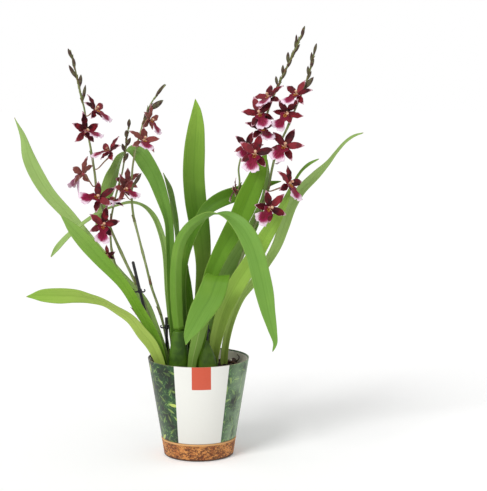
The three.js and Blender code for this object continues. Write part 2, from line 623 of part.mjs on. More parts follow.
// The whole plant.

const orchid = new THREE.Group();
orchid.name = "potted_cambria_orchid";

const finish = (color, roughness = 0.6) => new THREE.MeshStandardMaterial({ color, roughness });

function add(name, geometry, color, roughness) {
  geometry.computeVertexNormals();
  const mesh = new THREE.Mesh(geometry, finish(color, roughness));
  mesh.name = name;
  orchid.add(mesh);
}

const rooted = Object.entries(LEAVES).filter(([name]) => name !== "leaf_front_arch");
const sockets = [
  ...rooted.map(([name, rows]) => leafSocket(name, rows)),
  ...Object.values(SPIKES).map(rodSocket),
  ...Object.values(STAKES).map(rodSocket),
  ...Object.values(BULBS).map(bulbSocket),
];

add("pot", pot(), "#6e695f", 0.7);
add("printed_sleeve", sleeve(), "#2f5a3a", 0.5);
add("cork_band", cork(), "#c4844c", 0.8);
add("bark", carve(barkBody(), sockets), "#4a3526", 0.95);
for (const [name, rows] of Object.entries(BULBS)) add(name, bulb(rows), "#3f6b2a", 0.5);
for (const [name, rows] of Object.entries(LEAVES)) add(name, leaf(name, rows), "#5f9a2b", 0.45);
for (const name of Object.keys(SPIKES)) add(name, spike(name), "#5d6b45", 0.6);
for (const [name, spec] of Object.entries(STAKES)) add(name, stake(spec), "#15161a", 0.4);
for (const [name, spec] of Object.entries(BLOOMS)) add(name, bloom(spec), "#7d1826", 0.5);

export default orchid;
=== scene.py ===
"""Looks of a potted cambria orchid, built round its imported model.

The tables are in millimetres in the model's frame, with the origin in the middle of the pot's
underside, +Z up and -Y to the front. Each finer piece stands for the node it is named after.
"""
import logging
import random
from collections.abc import Callable, Iterator, Sequence
from dataclasses import dataclass
from enum import Enum, IntEnum
from functools import partial
from math import copysign, cos, exp, pi, radians, sin, sqrt, tau
from typing import Protocol

import bmesh
import bpy
from mathutils import Matrix, Vector, noise


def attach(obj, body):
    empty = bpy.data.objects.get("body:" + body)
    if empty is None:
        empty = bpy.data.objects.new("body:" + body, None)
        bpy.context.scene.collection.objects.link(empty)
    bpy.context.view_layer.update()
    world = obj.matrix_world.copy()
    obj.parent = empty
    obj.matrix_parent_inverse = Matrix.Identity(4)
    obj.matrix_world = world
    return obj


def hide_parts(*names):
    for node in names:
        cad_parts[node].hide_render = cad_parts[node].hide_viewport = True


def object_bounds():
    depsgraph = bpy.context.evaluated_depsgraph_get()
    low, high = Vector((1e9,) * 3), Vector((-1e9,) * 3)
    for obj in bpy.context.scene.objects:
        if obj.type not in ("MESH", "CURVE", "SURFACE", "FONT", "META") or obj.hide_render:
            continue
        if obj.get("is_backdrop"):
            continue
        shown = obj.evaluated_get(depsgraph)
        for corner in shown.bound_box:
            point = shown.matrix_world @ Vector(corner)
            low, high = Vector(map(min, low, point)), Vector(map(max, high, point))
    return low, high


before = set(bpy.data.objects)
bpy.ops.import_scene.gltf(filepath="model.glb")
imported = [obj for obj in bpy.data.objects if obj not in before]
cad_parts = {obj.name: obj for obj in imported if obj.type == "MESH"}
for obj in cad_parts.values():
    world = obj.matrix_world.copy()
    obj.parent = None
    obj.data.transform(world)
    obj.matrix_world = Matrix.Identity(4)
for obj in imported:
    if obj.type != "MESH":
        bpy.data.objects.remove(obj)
cad_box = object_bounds()

log = logging.getLogger("orchid")

MM = 0.001
BODY = "root"
LAYERS = ("across", "along", "side", "reach", "under", "tone")

POT_HEIGHT = 116.0
POT_FOOT = 39.9
POT_RIM = 58.9
POT_WALL = 1.5
POT_FLOOR = 2.0
GAP = 0.35
BARK_TOP = 104.5

Object = bpy.types.Object
Material = bpy.types.Material
Socket = bpy.types.NodeSocket
Pair = tuple[float, float]
Triple = tuple[float, float, float]
Row = Sequence[float]
Value = float | str | Sequence[float] | Socket
Place = Callable[[float, float], Vector]
Verts = list[bmesh.types.BMVert]


def mix(a: float, b: float, share: float) -> float:
    """Value at a share of the way from a to b."""
    return a + (b - a) * share


def ease(low: float, high: float, value: float) -> float:
    """Smooth step from 0 at low to 1 at high."""
    share = min(max((value - low) / (high - low), 0.0), 1.0)
    return share * share * (3 - 2 * share)


def pot_radius(z: float) -> float:
    """Outer radius of the tapered pot at a height."""
    return mix(POT_FOOT, POT_RIM, z / POT_HEIGHT)


def pot_bore(z: float) -> float:
    """Inner radius of the tapered pot at a height."""
    return pot_radius(z) - POT_WALL


def polar(radius: float, angle: float, z: float) -> Vector:
    """Point at a radius and an angle about the Z axis, at a height."""
    return Vector((radius * cos(angle), radius * sin(angle), z))


def place_object(name: str, data: bpy.types.ID) -> Object:
    """Makes an object and links it to the scene.

    Args:
        name: Its name.
        data: Its mesh or other data.

    Returns:
        The object.
    """
    made = bpy.data.objects.new(name, data)
    bpy.context.scene.collection.objects.link(made)
    return made


def mesh_object(name: str, mesh: bmesh.types.BMesh) -> Object:
    """Turns a finished mesh into an object, and frees it.

    Args:
        name: The object's name.
        mesh: The mesh.

    Returns:
        The object.
    """
    data = bpy.data.meshes.new(name)
    mesh.to_mesh(data)
    mesh.free()
    return place_object(name, data)


def paint(code: str) -> tuple[float, float, float, float]:
    """Linear colour of a hex code.

    Args:
        code: Hex code.

    Returns:
        Red, green, blue and opacity.
    """
    parts = [int(code[i:i + 2], 16) / 255 for i in (1, 3, 5)]
    linear = [p / 12.92 if p <= 0.04045 else ((p + 0.055) / 1.055) ** 2.4 for p in parts]
    return (*linear, 1.0)


class Route:
    """A smooth route through rows of x, y, z and further values, read at a share from 0 to 1."""

    def __init__(self, rows: Sequence[Row]) -> None:
        """Keeps the rows as points and values.

        Args:
            rows: Rows of x, y, z and any further values.
        """
        self.points = [Vector(row[:3]) for row in rows]
        self.values = [list(row[3:]) for row in rows]

    def span(self, share: float) -> tuple[int, float]:
        """Index of the stretch that holds a share, and the share of that stretch.

        Args:
            share: Share from the first row to the last.

        Returns:
            The index and the share.
        """
        reach = min(max(share, 0.0), 1.0) * (len(self.points) - 1)
        index = min(int(reach), len(self.points) - 2)
        return index, reach - index

    def point(self, share: float) -> Vector:
        """Point on the centripetal curve through the rows.

        Args:
            share: Share from the first row to the last.

        Returns:
            The point.
        """
        index, t = self.span(share)
        here, there = self.points[index], self.points[index + 1]
        before = self.points[index - 1] if index else 2 * here - there
        after = self.points[index + 2] if index + 2 < len(self.points) else 2 * there - here
        first, middle, last = (
            (b - a).length_squared ** 0.25
            for a, b in ((before, here), (here, there), (there, after))
        )
        leave = (here - before) / first - (there - before) / (first + middle)
        leave = (leave + (there - here) / middle) * middle
        arrive = (there - here) / middle - (after - here) / (middle + last)
        arrive = (arrive + (after - there) / last) * middle
        square = 3 * (there - here) - 2 * leave - arrive
        cube = 2 * (here - there) + leave + arrive
        return here + leave * t + square * t ** 2 + cube * t ** 3

    def tangent(self, share: float) -> Vector:
        """Direction of the curve at a share."""
        step = 1e-4
        return (self.point(share + step) - self.point(share - step)).normalized()

    def value(self, share: float, column: int = 0) -> float:
        """Smoothly blended further value at a share.

        Args:
            share: Share from the first row to the last.
            column: Which further value.

        Returns:
            The value.
        """
        index, t = self.span(share)
        last = len(self.values) - 1
        a, b, c, d = (
            self.values[min(max(i, 0), last)][column] for i in range(index - 1, index + 3)
        )
        rise = t * (3 * (b - c) + d - a)
        return b + 0.5 * t * (c - a + t * (2 * a - 5 * b + 4 * c - d + rise))

    def share_at(self, z: float) -> float:
        """Share at which a climbing route first reaches a height.

        Args:
            z: The height.

        Returns:
            The share, or 1 if the route stays below.
        """
        steps = 400
        for i in range(steps):
            if self.point(i / steps).z >= z:
                return i / steps
        return 1.0


class Finish(Protocol):
    """A finish that makes its own material."""

    def material(self) -> Material:
        """Builds the material."""


class Piece:
    """Gathers shapes in millimetres and makes the object that stands for a node."""

    def __init__(self, node: str, finishes: Sequence[Finish]) -> None:
        """Starts an empty mesh.

        Args:
            node: The node that the finished piece stands for.
            finishes: The finishes that its shapes choose from by number.
        """
        self.node = node
        self.materials = [finish.material() for finish in finishes]
        self.mesh = bmesh.new()
        for name in LAYERS:
            self.mesh.verts.layers.float.new(name)
        self.layer = {name: self.mesh.verts.layers.float[name] for name in LAYERS}

    def dress(
        self, verts: Verts, finish: int, tone: float = 0.0, matrix: Matrix | None = None
    ) -> None:
        """Gives the faces on some vertices a finish and smooth shading, and places them.

        Args:
            verts: The vertices.
            finish: Number of the finish.
            tone: Tone for the finish.
            matrix: Placing matrix, where there is one.
        """
        for vert in verts:
            vert[self.layer["tone"]] = tone
            for face in vert.link_faces:
                face.material_index = finish
                face.smooth = True
        if matrix is not None:
            bmesh.ops.transform(self.mesh, matrix=matrix, verts=verts)

    def turn_out(self, verts: Verts) -> None:
        """Turns the faces on some vertices outwards."""
        faces = {face for vert in verts for face in vert.link_faces}
        bmesh.ops.recalc_face_normals(self.mesh, faces=list(faces))

    def sheet(
        self,
        place: Place,
        columns: int,
        rows: int,
        thick: float,
        finish: int = 0,
        tone: float = 0.0,
        matrix: Matrix | None = None,
        measure: Callable[[float, float], Pair] | None = None,
    ) -> Verts:
        """Makes a curved sheet of even thickness from a grid.

        Args:
            place: Gives the sheet's middle for a share across (-1 to 1) and along (0 to 1).
            columns: Faces across.
            rows: Faces along.
            thick: Thickness.
            finish: Number of its material.
            tone: Tone for its material.
            matrix: Placing matrix.
            measure: Gives the millimetres across and along at those shares.

        Returns:
            All its vertices; those of the back have under set to 1.
        """
        front = bmesh.ops.create_grid(
            self.mesh, x_segments=columns, y_segments=rows, size=0.5
        )["verts"]
        for vert in front:
            across, along = 2 * vert.co.x, vert.co.y + 0.5
            side, reach = measure(across, along) if measure else (across, along)
            for name, value in zip(LAYERS, (across, along, side, reach)):
                vert[self.layer[name]] = value
            vert.co = place(across, along)
        faces = list({face for vert in front for face in vert.link_faces})
        for face in faces:
            face.normal_update()
        for vert in front:
            vert.normal_update()
        normals = [vert.normal.copy() for vert in front]
        for vert, normal in zip(front, normals):
            vert.co += normal * thick / 2
        made = bmesh.ops.solidify(self.mesh, geom=faces, thickness=thick)["geom"]
        known = set(front)
        back = [g for g in made if isinstance(g, bmesh.types.BMVert) and g not in known]
        for vert in back:
            vert[self.layer["under"]] = 1.0
        verts = front + back
        self.dress(verts, finish, tone, matrix)
        return verts

    def wrap(
        self,
        place: Place,
        sides: int,
        rows: int,
        finish: int = 0,
        tone: float = 0.0,
        matrix: Matrix | None = None,
    ) -> None:
        """Makes a closed round form from a grid whose sides are joined.

        Args:
            place: Gives the surface for a share of the turn and a share along, 0 to 1 each.
            sides: Faces round.
            rows: Faces along.
            finish: Number of its material.
            tone: Tone for its material.
            matrix: Placing matrix.
        """
        verts = bmesh.ops.create_grid(
            self.mesh, x_segments=sides, y_segments=rows, size=0.5
        )["verts"]
        for vert in verts:
            vert.co = place(vert.co.x + 0.5, vert.co.y + 0.5)
        bmesh.ops.remove_doubles(self.mesh, verts=verts, dist=1e-4)
        verts = [vert for vert in verts if vert.is_valid]
        edges = {edge for vert in verts for edge in vert.link_edges if edge.is_boundary}
        if edges:
            bmesh.ops.holes_fill(self.mesh, edges=list(edges), sides=0)
        self.turn_out(verts)
        self.dress(verts, finish, tone, matrix)

    def tube(
        self,
        rows: Sequence[Row],
        sides: int,
        stations: int,
        finish: int = 0,
        tone: float = 0.0,
        matrix: Matrix | None = None,
        swell: Callable[[float, float], float] | None = None,
    ) -> None:
        """Makes a round rod along a route.

        Args:
            rows: Rows of x, y, z and radius.
            sides: Faces round.
            stations: Faces along.
            finish: Number of its material.
            tone: Tone for its material.
            matrix: Placing matrix.
            swell: Gives a factor on the radius for a share of the turn and a share along.
        """
        route = Route(rows)
        start = route.tangent(0)
        across = Vector((1, 0, 0)) if abs(start.x) < 0.8 else Vector((0, 1, 0))
        frames = []
        for i in range(stations + 1):
            way = route.tangent(i / stations)
            across = (across - way * across.dot(way)).normalized()
            frames.append((route.point(i / stations), across.copy(), way.cross(across)))

        def place(turn: float, along: float) -> Vector:
            """Point on the rod's skin.

            Args:
                turn: Share round.
                along: Share along.

            Returns:
                The point.
            """
            middle, right, up = frames[round(along * stations)]
            angle = tau * turn
            radius = max(route.value(along), 0.0) * (swell(turn, along) if swell else 1.0)
            return middle + radius * (cos(angle) * right + sin(angle) * up)

        self.wrap(place, sides, stations, finish, tone, matrix)

    def ball(self, matrix: Matrix, finish: int, tone: float = 0.0, segments: int = 10) -> None:
        """Makes a round knob of radius 1 under a placing matrix.

        Args:
            matrix: Places and scales it.
            finish: Number of its finish.
            tone: Its tone.
            segments: Faces round.
        """
        verts = bmesh.ops.create_uvsphere(
            self.mesh, u_segments=segments, v_segments=segments - 2, radius=1, matrix=matrix
        )["verts"]
        self.dress(verts, finish, tone)

    def spun(self, profile: Sequence[Pair], steps: int) -> None:
        """Turns a closed profile about Z, in the piece's first finish.

        Args:
            profile: Its pairs of radius and height.
            steps: Faces round.
        """
        corners = [self.mesh.verts.new((r, 0, z)) for r, z in profile]
        edges = [self.mesh.edges.new((a, b)) for a, b in zip(corners, corners[1:] + corners[:1])]
        before = set(self.mesh.verts) - set(corners)
        bmesh.ops.spin(
            self.mesh,
            geom=corners + edges,
            axis=(0, 0, 1),
            cent=(0, 0, 0),
            angle=tau,
            steps=steps,
            use_merge=True,
        )
        verts = [vert for vert in self.mesh.verts if vert not in before]
        bmesh.ops.remove_doubles(self.mesh, verts=verts, dist=1e-3)
        verts = [vert for vert in verts if vert.is_valid]
        self.turn_out(verts)
        self.dress(verts, 0)

    def finish(self, slot: str) -> Object:
        """Makes the object, in metres, and lets it stand for its node.

        Args:
            slot: The record's material slot; not used.

        Returns:
            The finished piece.
        """
        bmesh.ops.scale(self.mesh, vec=(MM, MM, MM), verts=self.mesh.verts)
        made = mesh_object(self.node + "_fine", self.mesh)
        for material in self.materials:
            made.data.materials.append(material)
        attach(made, BODY)
        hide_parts(self.node)
        log.info("made %s with %d faces", made.name, len(made.data.polygons))
        return made


class Shader:
    """Lays out the nodes of one procedural material."""

    def __init__(self, name: str) -> None:
        """Starts an empty material.

        Args:
            name: The material's name.
        """
        self.material = bpy.data.materials.new(name)
        self.material.use_nodes = True
        self.tree = self.material.node_tree
        self.tree.nodes.clear()

    def node(self, kind: str, inputs: dict[int | str, Value], **settings: object) -> bpy.types.Node:
        """Adds a node.

        Args:
            kind: Name of the node type.
            inputs: Values, hex colours or sockets for its inputs, by name or number.
            **settings: Its own settings.

        Returns:
            The node.
        """
        made = self.tree.nodes.new(kind)
        for key, value in settings.items():
            setattr(made, key, value)
        for key, value in inputs.items():
            if isinstance(value, Socket):
                self.tree.links.new(value, made.inputs[key])
            else:
                made.inputs[key].default_value = paint(value) if isinstance(value, str) else value
        return made

    def math(self, operation: str, a: Value, b: Value = 0.0, c: Value = 0.0) -> Socket:
        """Result of a sum of up to three values."""
        return self.node("ShaderNodeMath", {0: a, 1: b, 2: c}, operation=operation).outputs[0]

    def times(self, a: Value, b: Value) -> Socket:
        """Product of two values."""
        return self.math("MULTIPLY", a, b)

    def plus(self, a: Value, b: Value) -> Socket:
        """Sum of two values."""
        return self.math("ADD", a, b)

    def minus(self, a: Value, b: Value) -> Socket:
        """One value less another."""
        return self.math("SUBTRACT", a, b)

    def scaled(self, value: Value, factor: float, offset: float) -> Socket:
        """A value times a factor, plus an offset."""
        return self.math("MULTIPLY_ADD", value, factor, offset)

    def attribute(self, name: str) -> Socket:
        """Value that the mesh stores under a name."""
        made = self.node("ShaderNodeAttribute", {}, attribute_name=name)
        return made.outputs["Fac"]

    def attributes(self, *names: str) -> list[Socket]:
        """Values that the mesh stores under some names."""
        return [self.attribute(name) for name in names]

    def position(self) -> Socket:
        """Object coordinates."""
        return self.node("ShaderNodeTexCoord", {}).outputs["Object"]

    def split(self, vector: Value) -> Sequence[Socket]:
        """The three parts of a vector."""
        return self.node("ShaderNodeSeparateXYZ", {0: vector}).outputs

    def join(self, x: Value, y: Value, z: Value = 0.0) -> Socket:
        """A vector of three parts."""
        return self.node("ShaderNodeCombineXYZ", {0: x, 1: y, 2: z}).outputs[0]

    def vector(self, operation: str, a: Value, b: Value) -> Socket:
        """Result of a vector sum."""
        return self.node("ShaderNodeVectorMath", {0: a, 1: b}, operation=operation).outputs[0]

    def noise(self, vector: Value, scale: float, detail: float = 3.0) -> Socket:
        """Soft random value from 0 to 1."""
        made = self.node("ShaderNodeTexNoise", {"Vector": vector, "Scale": scale, "Detail": detail})
        return made.outputs["Fac"]

    def step(self, value: Value, low: float, high: float) -> Socket:
        """Smooth step from 0 at low to 1 at high; low may lie above high.

        Args:
            value: Value to judge.
            low: Where the step is 0.
            high: Where it is 1.

        Returns:
            The step.
        """
        flip = low > high
        made = self.node(
            "ShaderNodeMapRange",
            {0: value, 1: min(low, high), 2: max(low, high), 3: float(flip), 4: float(not flip)},
            interpolation_type="SMOOTHSTEP",
        )
        return made.outputs[0]

    def mix(self, share: Value, a: Value, b: Value, kind: str = "MIX") -> Socket:
        """Blend of two colours."""
        made = self.node("ShaderNodeMix", {0: share, 6: a, 7: b}, data_type="RGBA", blend_type=kind)
        return made.outputs[2]

    def cover(self, base: Value, colour: Value, mask: Value, share: float) -> Socket:
        """Lays a share of a colour over another where a mask is 1."""
        return self.mix(self.times(mask, share), base, colour)

    def ramp(self, value: Value, *stops: tuple[float, str]) -> Socket:
        """Colour along a ramp of places and hex codes.

        Args:
            value: Place on the ramp.
            *stops: Places and their hex codes.

        Returns:
            The colour.
        """
        made = self.node("ShaderNodeValToRGB", {0: value})
        elements = made.color_ramp.elements
        while len(elements) < len(stops):
            elements.new(0.5)
        for element, (place, code) in zip(elements, stops):
            element.position = place
            element.color = paint(code)
        return made.outputs[0]

    def bump(self, height: Value, depth_mm: float) -> Socket:
        """Normal of a relief with a height from 0 to 1 and a depth in millimetres."""
        inputs = {"Height": height, "Distance": depth_mm * MM}
        return self.node("ShaderNodeBump", inputs).outputs[0]

    def surface(
        self,
        colour: Value,
        rough: Value,
        normal: Socket,
        gloss: float = 0.5,
        fixed: dict[str, Value] | None = None,
    ) -> Material:
        """Ends the material in one shader.

        Args:
            colour: Base colour.
            rough: Roughness.
            normal: Relief.
            gloss: How strongly the bare surface mirrors.
            fixed: Further values set on the shader's own sockets.

        Returns:
            The material.
        """
        inputs: dict[int | str, Value] = {
            "Base Color": colour,
            "Roughness": rough,
            "Normal": normal,
            "Specular IOR Level": gloss,
            **(fixed or {}),
        }
        shader = self.node("ShaderNodeBsdfPrincipled", inputs)
        self.node("ShaderNodeOutputMaterial", {0: shader.outputs[0]})
        return self.material


class Green(Enum):
    """Greens of the leaves, from the shaded foot of the plant to the lit tips."""

    DEEP = "#456514"
    DARK = "#4f7a1a"
    MID = "#608d1e"
    VIVID = "#6f9f26"
    FRESH = "#74a044"
    OLIVE = "#74904a"
    LIGHT = "#8aae58"
    BRIGHT = "#92ba48"
    PALE = "#9cba6c"
    LIME = "#a8c05c"


@dataclass(frozen=True)
class LeafFinish:
    """Satin leaf skin with fine veins and a painted shade along the midrib crease, whose green runs
    from the foot to the tip.
    """

    name: str
    foot: Green
    middle: Green
    tip: Green
    back_share: float = 0.4
    light: str = "#9cbc4c"
    under: str = "#8aa45c"
    keel: str = "#adc078"
    edge: str = "#a2bd58"
    dry: str = "#a58b4e"
    shade: tuple[float, float, float, float] = (0.62, 0.7, 0.5, 1.0)
    vein_gap: float = 0.85
    streak_stretch: float = 0.018
    rib_reach: float = 0.1
    dry_from: float = 0.996
    relief_mm: float = 0.09
    gloss: float = 0.2

    def material(self) -> Material:
        """Builds the material.

        Returns:
            The material.
        """
        net = Shader(self.name)
        across, along, side, reach = net.attributes("across", "along", "side", "reach")
        away = net.math("ABSOLUTE", across)
        long_way = net.times(reach, self.streak_stretch)
        streaks = net.noise(net.join(side, long_way), 0.9, 4.0)
        clouds = net.noise(net.position(), 24.0)
        waves = net.math("SINE", net.times(side, tau / self.vein_gap))
        veins = net.scaled(waves, 0.5, 0.5)
        rib = net.step(away, self.rib_reach, 0.02)
        green = net.ramp(
            along, (0.0, self.foot.value), (0.5, self.middle.value), (1.0, self.tip.value)
        )
        dark = net.mix(1.0, green, self.shade, "MULTIPLY")
        light = net.mix(0.4, green, self.light)
        skin = net.cover(green, dark, net.step(streaks, 0.42, 0.72), 0.4)
        skin = net.cover(skin, light, net.step(clouds, 0.5, 0.75), 0.45)
        skin = net.cover(skin, dark, net.step(veins, 0.2, 0.5), 0.14)
        # Painted shade: darkens the midrib crease.
        skin = net.cover(skin, dark, rib, 0.45)
        back = net.mix(self.back_share, skin, self.under)
        keel = net.mix(self.back_share, back, self.keel)
        skin = net.mix(net.attribute("under"), skin, net.mix(rib, back, keel))
        skin = net.cover(skin, self.edge, net.step(away, 0.9, 1.0), 0.3)
        end = net.plus(along, net.times(streaks, 0.012))
        skin = net.mix(net.step(end, self.dry_from, self.dry_from + 0.01), skin, self.dry)
        relief = net.plus(veins, net.times(streaks, 1.2))
        rough = net.scaled(streaks, 0.16, 0.38)
        return net.surface(skin, rough, net.bump(relief, self.relief_mm), self.gloss)


@dataclass(frozen=True)
class PetalFinish:
    """Velvety crimson with a ragged pale margin and tip, and a dull pink back."""

    name: str = "petal"
    crimson: str = "#981a2a"
    maroon: str = "#33060f"
    dusty: str = "#a8424a"
    pale: str = "#e3b4c2"
    stain: str = "#9c3f5c"
    back: str = "#8f4a44"
    back_dark: str = "#6a2c34"
    faded: str = "#a4685a"
    point: str = "#7c7c5a"
    seed_spread: float = 37.0
    chance_spread: float = 97.0
    ray_pace: float = 26.0
    relief_mm: float = 0.08
    gloss: float = 0.2
    sheen: float = 0.03

    def red(self, net: Shader, clouds: Value, rays: Value) -> Socket:
        """Crimson with maroon clouds, rays and midrib, soft patches of painted shade, and some
        petals darkened by painted shade or made dustier.

        Args:
            net: The material's nodes.
            clouds: Soft random value.
            rays: Value that waves across the petal.

        Returns:
            The colour.
        """
        away = net.math("ABSOLUTE", net.attribute("across"))
        # Painted shade: soft large patches darkened towards maroon.
        depth = net.noise(net.position(), 48.0, 2.0)
        red = net.mix(net.step(clouds, 0.34, 0.64), self.maroon, self.crimson)
        red = net.cover(red, self.maroon, net.step(depth, 0.6, 0.4), 0.6)
        red = net.cover(red, self.maroon, net.step(rays, 0.1, 0.5), 0.3)
        red = net.cover(red, self.maroon, net.step(away, 0.12, 0.0), 0.5)
        # One random value per petal: high values darken the petal as painted shade, low values make
        # it dustier.
        spin = net.times(net.attribute("tone"), self.chance_spread)
        chance = net.scaled(net.math("SINE", spin), 0.5, 0.5)
        red = net.cover(red, self.maroon, net.step(chance, 0.45, 0.95), 0.55)
        return net.cover(red, self.dusty, net.step(chance, 0.35, 0.0), 0.35)

    def margin(self, net: Shader, seed: Value) -> Socket:
        """Value that passes 1 in the ragged pale margin and tip.

        Args:
            net: The material's nodes.
            seed: Value that differs from petal to petal.

        Returns:
            The value.
        """
        across, along = net.attributes("across", "along")
        away = net.math("ABSOLUTE", across)
        flat = net.join(net.times(across, 1.3), net.times(along, 3.4), seed)
        rim = net.times(net.math("POWER", away, 6.0), 0.55)
        tip = net.times(net.step(along, 0.62, 1.0), 0.8)
        blots = net.times(net.noise(flat, 3.2, 3.0), 0.9)
        return net.plus(net.plus(rim, tip), blots)

    def material(self) -> Material:
        """Builds the material.

        Returns:
            The material.
        """
        net = Shader(self.name)
        across, along, tone = net.attributes("across", "along", "tone")
        seed = net.times(tone, self.seed_spread)
        clouds = net.noise(net.position(), 130.0, 4.0)
        waves = net.math("SINE", net.times(across, self.ray_pace))
        rays = net.scaled(waves, 0.5, 0.5)
        fine = net.noise(net.join(net.times(across, 9.0), along, seed), 2.4)
        pale = net.mix(net.step(fine, 0.45, 0.75), self.pale, self.stain)
        bound = self.margin(net, seed)
        face = net.mix(net.step(bound, 1.0, 1.12), self.red(net, clouds, rays), pale)
        back = net.mix(net.step(clouds, 0.35, 0.7), self.back, self.back_dark)
        back = net.mix(net.step(bound, 0.95, 1.12), back, pale)
        skin = net.mix(net.attribute("under"), face, back)
        skin = net.cover(skin, self.faded, net.step(tone, 0.3, 0.9), 0.5)
        skin = net.mix(net.step(along, 0.965, 0.985), skin, self.point)
        relief = net.plus(rays, net.times(clouds, 1.4))
        rough = net.scaled(clouds, 0.2, 0.48)
        fixed = {"Sheen Weight": self.sheen, "Sheen Roughness": 0.4}
        return net.surface(skin, rough, net.bump(relief, self.relief_mm), self.gloss, fixed)


@dataclass(frozen=True)
class LipFinish:
    """Crimson lip that breaks into magenta veins on a white frill."""

    name: str = "lip"
    crimson: str = "#640a20"
    bright: str = "#8a1234"
    magenta: str = "#960f4c"
    blush: str = "#b8387c"
    frill: str = "#f0dcea"
    back: str = "#c98fb2"
    seed_spread: float = 53.0
    relief_mm: float = 0.15
    gloss: float = 0.2
    sheen: float = 0.03

    def material(self) -> Material:
        """Builds the material.

        Returns:
            The material.
        """
        net = Shader(self.name)
        across, along, tone = net.attributes("across", "along", "tone")
        away = net.math("ABSOLUTE", across)
        seed = net.times(tone, self.seed_spread)
        rays = net.join(net.times(across, 5.5), net.times(along, 1.4), seed)
        veins = net.noise(rays, 3.0, 3.0)
        spread = net.times(net.step(along, 0.42, 0.6), 0.34)
        outward = net.plus(along, net.times(away, spread))
        outward = net.plus(outward, net.times(veins, 0.34))
        skin = net.mix(net.step(veins, 0.3, 0.7), self.crimson, self.bright)
        skin = net.mix(net.step(outward, 0.88, 1.03), skin, self.magenta)
        skin = net.mix(net.step(outward, 1.0, 1.2), skin, self.frill)
        skin = net.cover(skin, self.blush, net.step(veins, 0.5, 0.72), 0.22)
        back = net.mix(0.35, skin, self.back)
        skin = net.mix(net.attribute("under"), skin, back)
        rough = net.scaled(veins, 0.2, 0.4)
        fixed = {"Sheen Weight": self.sheen}
        return net.surface(skin, rough, net.bump(veins, self.relief_mm), self.gloss, fixed)


@dataclass(frozen=True)
class SpeckledFinish:
    """A living skin of two colours in soft clouds, with fine grain."""

    name: str
    light: str
    dark: str
    scale: float = 160.0
    low: float = 0.4
    high: float = 0.65
    rough: float = 0.45
    relief_mm: float = 0.1
    gloss: float = 0.3
    grain_scale: float = 6.0

    def material(self) -> Material:
        """Builds the material.

        Returns:
            The material.
        """
        net = Shader(self.name)
        place = net.position()
        clouds = net.noise(place, self.scale, 4.0)
        grain = net.noise(place, self.scale * self.grain_scale, 2.0)
        skin = net.mix(net.step(clouds, self.low, self.high), self.light, self.dark)
        skin = net.cover(skin, self.dark, grain, 0.25)
        rough = net.scaled(grain, 0.2, self.rough)
        return net.surface(skin, rough, net.bump(grain, self.relief_mm), self.gloss)


@dataclass(frozen=True)
class StemFinish:
    """Olive stem that flushes maroon towards its flowers."""

    name: str = "stem"
    olive: str = "#71853f"
    grey: str = "#95a06c"
    maroon: str = "#5a3a32"
    speck: str = "#b7b89a"
    stretch: Triple = (1.0, 1.0, 0.08)
    flush_low: float = 0.2
    flush_high: float = 0.42
    relief_mm: float = 0.12

    def material(self) -> Material:
        """Builds the material.

        Returns:
            The material.
        """
        net = Shader(self.name)
        place = net.position()
        streaks = net.noise(net.vector("MULTIPLY", place, self.stretch), 520.0, 3.0)
        clouds = net.noise(place, 42.0, 3.0)
        specks = net.noise(place, 1500.0, 1.0)
        climb = net.step(net.split(place)[2], self.flush_low, self.flush_high)
        flush = net.times(climb, net.step(clouds, 0.38, 0.66))
        skin = net.mix(net.step(streaks, 0.35, 0.7), self.olive, self.grey)
        skin = net.cover(skin, self.maroon, flush, 0.5)
        skin = net.cover(skin, self.speck, net.step(specks, 0.6, 0.7), 0.35)
        rough = net.scaled(streaks, 0.2, 0.42)
        return net.surface(skin, rough, net.bump(streaks, self.relief_mm))


@dataclass(frozen=True)
class PotFinish:
    """Plain moulded plastic, dulled by fine scuffs and dried splashes."""

    name: str = "moulded_pot"
    plastic: str = "#c4bfb3"
    dust: str = "#cdc7ba"
    scuff: str = "#a59f93"
    stretch: Triple = (1.0, 1.0, 0.15)
    relief_mm: float = 0.08

    def material(self) -> Material:
        """Builds the material.

        Returns:
            The material.
        """
        net = Shader(self.name)
        place = net.position()
        scuffs = net.noise(net.vector("MULTIPLY", place, self.stretch), 300.0, 4.0)
        splashes = net.noise(place, 60.0, 5.0)
        skin = net.mix(net.step(splashes, 0.45, 0.7), self.plastic, self.dust)
        skin = net.cover(skin, self.scuff, scuffs, 0.3)
        rough = net.scaled(scuffs, 0.25, 0.42)
        return net.surface(skin, rough, net.bump(scuffs, self.relief_mm))


@dataclass(frozen=True)
class LeafScatter:
    """One layer of plain pointed leaves printed on the paper."""

    spacing: float
    length: float
    width: float
    shift: float
    body: str
    light: str


